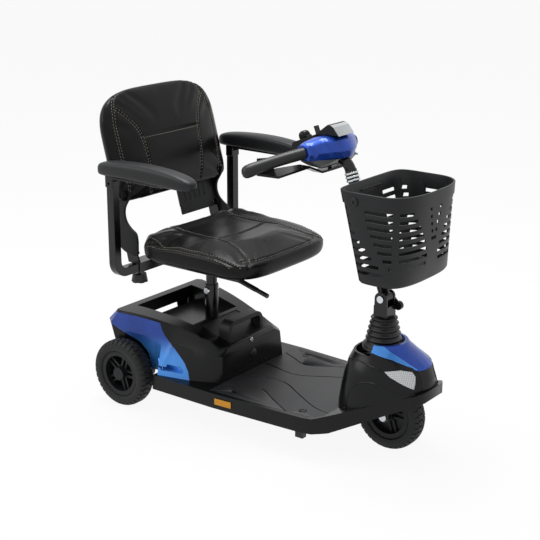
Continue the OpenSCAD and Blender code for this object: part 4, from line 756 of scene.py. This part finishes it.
class SCOOTER_OT_hubs(bpy.types.Operator):
    """Closes the back of the spokes with a dished disc"""

    bl_idname = "scooter.hubs"
    bl_label = "Wheel discs"

    def execute(self, context):
        dish = [(17, -1.2), (34, -2.4), (52, -2.6), (64, -0.8), (64, 0.8), (52, -0.6), (34, -0.4), (17, 0.8),
                (17, -1.2)]
        # Each disc lies this far inside its rim's middle
        for node, side, inner in (("rear_rim_right", -1, 12), ("rear_rim_left", 1, 12), ("front_rim", 1, 0)):
            at = middle_of(node) - Vector((0, side * inner * MM, 0))
            show(node + "_disc", turned(dish, at, (0, side, 0), 48), node, "grained_abs")
        return {"FINISHED"}


class SCOOTER_OT_basket(bpy.types.Operator):
    """Moulds the basket with its rim, slots, hook and handle bosses"""

    bl_idname = "scooter.basket"
    bl_label = "Basket"

    def execute(self, context):
        low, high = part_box("basket")
        floor_z = low.z / MM
        rim_z = high.z / MM

        # Back, front and half width at a height
        def sizes(z):
            share = (z - floor_z) / (rim_z - floor_z)
            return 746 - 60 * share, 882 + 13 * share, 146 + 8 * share

        def outline(z, inset):
            back, front, side = sizes(z)
            half = (front - back) / 2
            points = oval(120, half - inset, half - inset, side - inset, 7, 3.0)
            return [place(back + half + ahead, across, z) for ahead, across in points]

        shell = [outline(z, inset) for z, inset in (
            (floor_z, 7), (floor_z + 2, 3), (floor_z + 7, 0), (rim_z - 32, 0), (rim_z - 31, -2.5),
            (rim_z - 1, -2.5), (rim_z, -1.5))]
        hollow = [outline(z, inset) for z, inset in (
            (floor_z + 3, 9), (floor_z + 8, 3), (rim_z - 2, 3), (rim_z + 2, 1.5))]
        # Half width of the plain front between the slots, row by row from the top
        plain = (94, 79, 64, 50, 40, 31, 26, 30)
        slot_height = 9.6
        # Top row's depth below the rim and the way from row to row
        first, pitch = 46, 20
        side_wall = (134, 220)
        front_wall = (830, 960)
        cutter = bmesh.new()

        def slot(x0, x1, y0, y1, z):
            for side in (-1, 1):
                at = Matrix.Translation(place((x0 + x1) / 2, side * (y0 + y1) / 2, z))
                block(cutter, at, x1 - x0, y1 - y0, slot_height)

        # Each row has two runs along the sides, growing downwards, one at the back and two in front
        for i in range(9):
            z = rim_z - first - pitch * i
            back, front, side = sizes(z)
            start = back + 10
            run = 0.86 * (front - back) - 24
            slot(start, start + run * (0.08 + 0.83 * (i / 8) ** 2.2), *side_wall, z)
            slot(640, back + 20, 52, 0.72 * side, z)
            if i < 8:
                slot(start + run * (0.46 + 0.48 * (i / 7) ** 2.2), start + run, *side_wall, z)
                slot(*front_wall, plain[i], (0.86 if i < 7 else 0.72) * side, z)
            if i < 4:
                slot(*front_wall, 20 - 5 * i, 30 - 5 * i, z)
        slot(*front_wall, 0.4, 12, rim_z - 126)
        bowl = carved(carved(loft(shell), loft(hollow)), cutter)
        dress("basket", "basket_nylon", 0.6, bowl, sharp=40)
        hook = [(688, 694), (692, 694), (692, 716), (699, 716), (699, 720), (688, 720)]
        forms = [loft([[place(x, y, z) for x, z in hook] for y in (-46, 46)])]
        boss = [(0, 2), (3.6, 2), (4, 4.4), (9.5, 4.4), (11, 3.4), (11.5, -3)]
        forms += [turned(boss, place(746, side * 155, 716), (0, side, 0)) for side in (-1, 1)]
        show("basket_fittings", joined(forms), "basket", "basket_nylon", edge=0.5)
        return {"FINISHED"}


class SCOOTER_OT_tyres(bpy.types.Operator):
    """Spins the three tyres and raises their tread blocks"""

    bl_idname = "scooter.tyres"
    bl_label = "Tyres"

    def execute(self, context):
        s = context.scene.scooter_sizes
        # Half section from the bead to the crown, as radius and place across in millimetres
        half = [(67.4, 20), (70, 24), (76, 25.8), (84, 26), (89.5, 24.6), (93.2, 21), (95.4, 16.5),
                (95.8, 15.5), (96.8, 10.5), (96.9, 9.5), (97, 3)]
        section = half + [(r, -a) for r, a in reversed(half)]
        # Steps of the spin from one block to the next, of which one is a gap
        pitch = 4
        steps = s.tread_blocks * pitch
        for node in ("rear_tyre_right", "rear_tyre_left", "front_tyre"):
            bm = bmesh.new()
            edges = ring(bm, [(r * MM, a * MM, 0) for r, a in section])
            bmesh.ops.spin(bm, geom=edges + list(bm.verts), cent=(0, 0, 0), axis=(0, 1, 0), angle=FULL_TURN,
                           steps=steps, use_merge=True)
            bmesh.ops.recalc_face_normals(bm, faces=bm.faces)
            blocks = []
            for face in bm.faces:
                spot = face.calc_center_median()
                radius = math.hypot(spot.x, spot.z) / MM
                across = abs(spot.y) / MM
                turn = int(steps * (math.atan2(spot.z, spot.x) / FULL_TURN + 1)) % pitch
                lateral = 2 if spot.y > 0 else 0
                shoulder = 16.5 < across < 24 and radius > 90
                crown = radius > 94 and (across < 9 or 10.5 < across < 15.5)
                if (shoulder and turn != lateral) or (crown and turn != (lateral + 1) % pitch):
                    blocks.append(face)
            raised = bmesh.ops.extrude_face_region(bm, geom=blocks)["geom"]
            for vert in (g for g in raised if isinstance(g, bmesh.types.BMVert)):
                out = Vector((vert.co.x, 0, vert.co.z)).normalized()
                vert.co += out * s.tread_depth
            bmesh.ops.delete(bm, geom=blocks, context="FACES")
            bmesh.ops.recalc_face_normals(bm, faces=bm.faces)
            bmesh.ops.translate(bm, vec=middle_of(node), verts=bm.verts)
            show(node + "_treaded", bm, node, "tyre_rubber", True, sharp=40)
        return {"FINISHED"}


def stuffed(rows, sizes, held, low, high):
    """A cover over rows of outlines, swollen by its stuffing apart from its border, that fills a box."""
    scene = bpy.context.scene
    obj = bpy.data.objects.new("stuffing", to_mesh("stuffing", loft(rows)))
    scene.collection.objects.link(obj)
    remesh = obj.modifiers.new("cover", "REMESH")
    remesh.mode = "VOXEL"
    remesh.voxel_size = sizes.voxel
    graph = bpy.context.evaluated_depsgraph_get()
    mesh = bpy.data.meshes.new_from_object(obj.evaluated_get(graph))
    obj.modifiers.clear()
    obj.data = mesh
    border = obj.vertex_groups.new(name="border")
    border.add([v.index for v in mesh.vertices if held(v.co)], 1.0, "REPLACE")
    cloth = obj.modifiers.new("cloth", "CLOTH").settings
    cloth.vertex_group_mass = "border"
    cloth.quality = 4
    cloth.mass = 0.3
    cloth.tension_stiffness = 25
    cloth.compression_stiffness = 25
    cloth.shear_stiffness = 10
    cloth.use_pressure = True
    cloth.uniform_pressure_force = sizes.pressure
    cloth.effector_weights.gravity = 0
    for step in range(1, SETTLE + 1):
        scene.frame_set(step)
    swollen = obj.evaluated_get(bpy.context.evaluated_depsgraph_get()).data
    for vert, end in zip(mesh.vertices, [v.co.copy() for v in swollen.vertices]):
        move = end - vert.co
        vert.co = vert.co + move * min(1.0, sizes.swell / max(move.length, 1e-9))
    scene.frame_set(1)
    bpy.data.objects.remove(obj)
    bm = bmesh.new()
    bm.from_mesh(mesh)
    for i in range(3):
        reach = [v.co[i] for v in bm.verts]
        start, end = min(reach), max(reach)
        for vert in bm.verts:
            vert.co[i] = low[i] + (vert.co[i] - start) * (high[i] - low[i]) / (end - start)
    return bm


def eased(bm):
    """Smooths a cover and halves its mesh, and gives a tree that finds points on it."""
    for _ in range(4):
        bmesh.ops.smooth_vert(bm, verts=bm.verts, factor=0.5, use_axis_x=True, use_axis_y=True,
                              use_axis_z=True)
    bmesh.ops.subdivide_edges(bm, edges=bm.edges, cuts=1, use_grid_fill=True, smooth=0.6)
    bm.normal_update()
    return BVHTree.FromBMesh(bm)


def sew(bm, seams, sizes):
    """Presses a valley into a cover along each seam, given as points on it."""
    spots = [p for seam in seams for p in seam]
    tree = KDTree(len(spots))
    for k, p in enumerate(spots):
        tree.insert(p, k)
    tree.balance()
    bm.normal_update()
    moves = []
    for vert in bm.verts:
        gap = tree.find(vert.co)[2]
        if gap < sizes.seam_width:
            share = 1 - (gap / sizes.seam_width) ** 2
            moves.append((vert, vert.normal * (-sizes.seam_depth * share * share)))
    for vert, move in moves:
        vert.co += move


def stitches(name, lines, node, sizes):
    """Rows of stitches along lines that lie on a cover."""
    thread = sizes.stitch_width / 2
    size = Matrix.Diagonal((sizes.stitch_pitch * STITCH_SHARE, thread, thread, 1))
    bm = bmesh.new()
    for line in lines:
        walked = 0.0
        for a, b in zip(line, line[1:]):
            walked += (b - a).length
            if walked < sizes.stitch_pitch:
                continue
            walked = 0.0
            turn = (b - a).normalized().to_track_quat("X", "Z").to_matrix().to_4x4()
            bmesh.ops.create_uvsphere(
                bm, u_segments=6, v_segments=4, radius=1, matrix=Matrix.Translation(b) @ turn @ size)
    show(name, bm, node, "sewing_thread", sharp=180)


def cast(tree, points, towards):
    """Points dropped onto a cover along a direction."""
    hits = (tree.ray_cast(p, towards)[0] for p in points)
    return [h for h in hits if h is not None]


class SCOOTER_OT_seat(bpy.types.Operator):
    """Stuffs the seat cushion and sews its panels"""

    bl_idname = "scooter.seat"
    bl_label = "Seat cushion"

    def execute(self, context):
        s = context.scene.scooter_sizes
        middle_x = 252
        # Rows from below: height, how far the sides draw in, how far the front dips, share of the bolsters
        rows = []
        for z, inset, dip, full in ((437, 60, 0, 0), (450, 26, 4, 0), (458, 10, 6, 0), (468, 4, 4, 0),
                                    (492, 2, 8, 0.3), (514, 4, 16, 0.8), (523, 10, 20, 1), (526, 40, 18, 1),
                                    (522, 80, 14, 1), (519, 130, 10, 1)):
            row = []
            for ahead, across in oval(64, 193 - inset, 192 - inset, 214 - inset, 9, 4.6):
                x = middle_x + ahead
                drop = dip * share_of(x, 300, 446) ** 2
                # Bolsters along the sides and the back, 15 mm proud at the back and 7 mm low in front
                side = max(share_of(abs(across), 90, 180), share_of(x, 130, 70))
                bolster = 15 - 22 * share_of(x, 90, 370)
                row.append(place(x, across, z - drop + full * side * side * bolster))
            rows.append(row)
        border_z = 500 * MM
        bm = stuffed(rows, s, lambda at: at.z < border_z, place(56, -217, 437), place(449, 217, 541))
        # The sitter's hollow
        depth, hollow_x, half_length, half_width = 10, 220, 140, 170
        for vert in bm.verts:
            x, y, z = vert.co / MM
            share = max(0.0, 1 - (y / half_width) ** 2)
            share *= max(0.0, 1 - ((x - AXLE_X - hollow_x) / half_length) ** 2)
            vert.co.z -= depth * MM * share * share_of(z, 485, 525)
        tree = eased(bm)
        seams = []
        rows = []

        def dropped(line):
            return cast(tree, [place(p.x, p.y, 600) for p in line], -UP)

        for side in (-1, 1):
            inner = mirrored([(62, 118), (150, 111), (262, 113), (340, 126), (400, 150), (430, 178)], side)
            rim = mirrored([(66, 204), (160, 206), (280, 206), (380, 203), (424, 192), (441, 170)], side)
            for line, twin in ((inner, (4,)), (rim, (-4.5, 4.5))):
                seams.append(dropped(line))
                rows += [dropped(beside(line, gap)) for gap in twin]
        seams.append(dropped(smooth_line([(264, -112), (268, 0), (264, 112)], 3)))
        front = smooth_line([(441, -170), (446, -80), (447, 0), (446, 80), (441, 170)], 3)
        lip = cast(tree, [place(p.x + 60, p.y, 500) for p in front], -AHEAD)
        seams.append(lip)
        rows.append(lip)
        sew(bm, seams, s)
        piece = show("seat_cushion_cover", bm, "seat_cushion", "upholstery_vinyl", True, sharp=180)
        stitches("seat_stitching", rows, "seat_cushion", s)
        return {"FINISHED"}


class SCOOTER_OT_backrest(bpy.types.Operator):
    """Stuffs the backrest pad, sews its panels and covers the hinge arms"""

    bl_idname = "scooter.backrest"
    bl_label = "Backrest pad"

    def execute(self, context):
        s = context.scene.scooter_sizes
        lean = math.radians(15)
        ahead = Vector((math.cos(lean), 0, math.sin(lean)))
        up = Vector((-math.sin(lean), 0, math.cos(lean)))
        turn = Matrix((ahead, (0, 1, 0), up)).transposed().to_4x4()
        stand = Matrix.Translation(place(0, 0, 525)) @ turn
        middle_z = 236
        # Rows from the back: distance ahead of the hinge line and how far the outline draws in
        rows = []
        for forward, inset in ((10, 26), (16, 10), (30, 2), (48, 0), (60, 8), (68, 26), (69, 60), (66, 100)):
            outline = oval(72, 154 - inset, 154 - inset, 232 - inset, 13, 3.7)
            rows.append([(forward * MM, across * MM, (middle_z + high) * MM) for high, across in outline])
        border_x = 50 * MM
        low, high = Vector((10, -236, 80)) * MM, Vector((74, 236, 392)) * MM
        bm = stuffed(rows, s, lambda at: at.x < border_x, low, high)
        tree = eased(bm)
        seams = []
        rows = []

        def sewn(line, gaps):
            def pressed(points):
                return cast(tree, [Vector((200, p.y, p.x)) * MM for p in points], -AHEAD)

            seams.append(pressed(line))
            rows.extend(pressed(beside(line, gap)) for gap in gaps)

        # Seams as height and place across
        outer = [(384, 168), (345, 192), (295, 203), (237, 205), (170, 203), (96, 198)]
        inner = [(345, 190), (315, 158), (280, 134), (248, 122), (190, 115), (92, 108)]
        for side in (-1, 1):
            for line in (outer, inner):
                sewn(mirrored(line, side), (3.5, -3.5))
        sewn(smooth_line([(250, -122), (250, 0), (250, 122)], 3), (4,))
        sew(bm, seams, s)
        bmesh.ops.transform(bm, matrix=stand, verts=bm.verts)
        # Moulded covers of the hinge arms, as (ahead, height), and the foot of the vented panel
        arm = smooth_line([(-6, 652), (-19, 600), (-25, 550), (-24, 508), (-12, 476), (14, 462), (40, 458),
                           (53, 463)], 6)
        arm += smooth_line([(54, 500), (49, 524), (30, 537), (14, 553), (7, 574), (10, 596), (24, 620),
                            (33, 646)], 6)
        for side, name in ((-1, "hinge_cover_right"), (1, "hinge_cover_left")):
            faces = [[place(p.x, side * y, p.y) for p in arm] for y in (200.5, 209)]
            show(name, loft(faces), "backrest_frame", "grained_abs", edge=2.0)
        foot = bmesh.new()
        block(foot, stand @ Matrix.Translation(Vector((5.5, 115, 12)) * MM), 7.5, 146, 34)
        show("vent_panel_foot", foot, "backrest_frame", "grained_abs", edge=2.5)
        piece = show("backrest_cover", bm, "backrest_pad", "upholstery_vinyl", True, sharp=180)
        stitches("backrest_stitching", [[stand @ p for p in row] for row in rows], "backrest_pad", s)
        return {"FINISHED"}


class SCOOTER_OT_arm_pads(bpy.types.Operator):
    """Shapes the skinned foam arm pads on their brackets"""

    bl_idname = "scooter.arm_pads"
    bl_label = "Arm pads"

    def execute(self, context):
        # Stations from the back: place, half width, underside and top, in millimetres
        stations = ((0, 10, 705, 722), (0.012, 18, 701, 731), (0.05, 24, 699, 738), (0.2, 27, 699, 745),
                    (0.45, 28, 699, 749), (0.68, 28, 698, 747), (0.86, 27, 696, 739), (0.95, 24, 697, 730),
                    (0.988, 17, 701, 723), (1, 9, 706, 717))
        for side, node in ((-1, "armrest_right"), (1, "armrest_left")):
            arm_y = side * 265
            low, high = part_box(node)
            long = (high.x - low.x) / MM
            rows = []
            for share, half, under, top in stations:
                x = low.x / MM - AXLE_X + share * long
                middle = (under + top) / 2
                lift = (top - under) / 2
                points = oval(32, half, half, 1, 3.4, 3.4)
                rows.append([place(x, arm_y + across, middle + lift * up) for across, up in points])
            piece = show(node + "_foam", loft(rows), node, "skinned_foam", True, sharp=60, rounds=2)
            bm = bmesh.new()
            for cheek in (-1, 1):
                block(bm, Matrix.Translation(place(21, arm_y + cheek * 14.8, 689)), 26, 4, 40)
            block(bm, Matrix.Translation(place(113, arm_y, 697)), 210, 33, 5)
            show(node + "_bracket", bm, node, "stoved_enamel", slot="frame_paint", edge=1.5)
        return {"FINISHED"}


class SCOOTER_OT_studio(bpy.types.Operator):
    """Sets the floor, the light and the camera"""

    bl_idname = "scooter.studio"
    bl_label = "Studio"

    def execute(self, context):
        scene = context.scene
        studio = scene.scooter_studio
        scene.view_settings.view_transform = "Standard"
        world = bpy.data.worlds.new("studio")
        scene.world = world
        world.use_nodes = True
        tree = world.node_tree
        tree.nodes.clear()
        levels = {"To Min": studio.sky, "To Max": 1.0}
        level = add(tree, "ShaderNodeMapRange", levels, Value=(background_rays(tree), "Value"))
        light = add(tree, "ShaderNodeBackground", {"Color": (1, 1, 1, 1)}, Strength=(level, "Result"))
        add(tree, "ShaderNodeOutputWorld", Surface=(light, "Background"))

        bm = bmesh.new()
        bmesh.ops.create_grid(bm, x_segments=2, y_segments=2, size=40)
        floor = bpy.data.objects.new("studio_floor", to_mesh("studio_floor", bm))
        scene.collection.objects.link(floor)
        # Matt white paper sweep: seen as white, with the soft shadow kept
        tree = blank("paper_sweep")
        share = add(tree, "ShaderNodeMath", {"operation": "MULTIPLY"}, [(background_rays(tree), "Value")])
        share.inputs[1].default_value = PAPER_WHITE
        matt = add(tree, "ShaderNodeBsdfDiffuse", {"Color": (0.9, 0.9, 0.9, 1)})
        glow = add(tree, "ShaderNodeEmission", {"Color": (1, 1, 1, 1), "Strength": 1.0})
        mix = add(tree, "ShaderNodeMixShader", None, [(share, "Value"), (matt, "BSDF"), (glow, "Emission")])
        add(tree, "ShaderNodeOutputMaterial", Surface=(mix, "Shader"))
        floor.data.materials.append(FINISH["paper_sweep"])

        aim = Vector((0, 0, 0.4))
        for name, at, size, watts in (
            ("key", Vector((-0.4, 0.3, 3.6)), 1.7, studio.key),
            ("fill", Vector((-2.2, -2.6, 2.4)), 1.8, studio.fill),
        ):
            lamp = bpy.data.lights.new(name, "AREA")
            lamp.size = size
            lamp.energy = watts
            stand = bpy.data.objects.new(name, lamp)
            scene.collection.objects.link(stand)
            stand.location = at
            stand.rotation_euler = (aim - at).to_track_quat("-Z", "Y").to_euler()

        camera = bpy.data.cameras.new("camera")
        camera.sensor_width = 36
        camera.lens = studio.lens
        camera.shift_x = -0.0171
        camera.shift_y = 0.0088
        camera.clip_end = 120
        eye = bpy.data.objects.new("camera", camera)
        scene.collection.objects.link(eye)
        right = Vector((0.80325, 0.59561, 0.00637))
        up = Vector((-0.18525, 0.23964, 0.95302))
        back = Vector((0.56611, -0.76670, 0.30282))
        turn = Matrix((right, up, back)).transposed().to_4x4()
        eye.matrix_world = Matrix.Translation((1.9568, -2.6570, 1.4694)) @ turn
        scene.camera = eye
        return {"FINISHED"}


class SCOOTER_PT_panel(bpy.types.Panel):
    """Lists the steps that dress the scooter"""

    bl_idname = "SCOOTER_PT_panel"
    bl_label = "Scooter"
    bl_space_type = "VIEW_3D"
    bl_region_type = "UI"
    bl_category = "Scooter"

    def draw(self, context):
        for operator in OPERATORS:
            self.layout.operator(operator.bl_idname)
        scene = context.scene
        for group in (scene.scooter_sizes, scene.scooter_colours, scene.scooter_studio):
            for key in group.bl_rna.properties.keys():
                if key not in ("rna_type", "name"):
                    self.layout.prop(group, key)


OPERATORS = (
    SCOOTER_OT_finishes,
    SCOOTER_OT_studio,
    SCOOTER_OT_rigid,
    SCOOTER_OT_deck,
    SCOOTER_OT_rear,
    SCOOTER_OT_front,
    SCOOTER_OT_head,
    SCOOTER_OT_hubs,
    SCOOTER_OT_basket,
    SCOOTER_OT_tyres,
    SCOOTER_OT_seat,
    SCOOTER_OT_backrest,
    SCOOTER_OT_arm_pads,
)
CLASSES = (ScooterSizes, ScooterColours, ScooterStudio) + OPERATORS + (SCOOTER_PT_panel,)


def register():
    """Makes the settings and steps known to Blender."""
    for cls in CLASSES:
        bpy.utils.register_class(cls)
    bpy.types.Scene.scooter_sizes = PointerProperty(type=ScooterSizes)
    bpy.types.Scene.scooter_colours = PointerProperty(type=ScooterColours)
    bpy.types.Scene.scooter_studio = PointerProperty(type=ScooterStudio)


def unregister():
    """Takes the settings and steps away again."""
    del bpy.types.Scene.scooter_studio
    del bpy.types.Scene.scooter_colours
    del bpy.types.Scene.scooter_sizes
    for cls in reversed(CLASSES):
        bpy.utils.unregister_class(cls)


def main():
    """Dresses the scooter."""
    register()
    for operator in OPERATORS:
        group, name = operator.bl_idname.split(".")
        getattr(getattr(bpy.ops, group), name)()


if __name__ == "__main__":
    main()
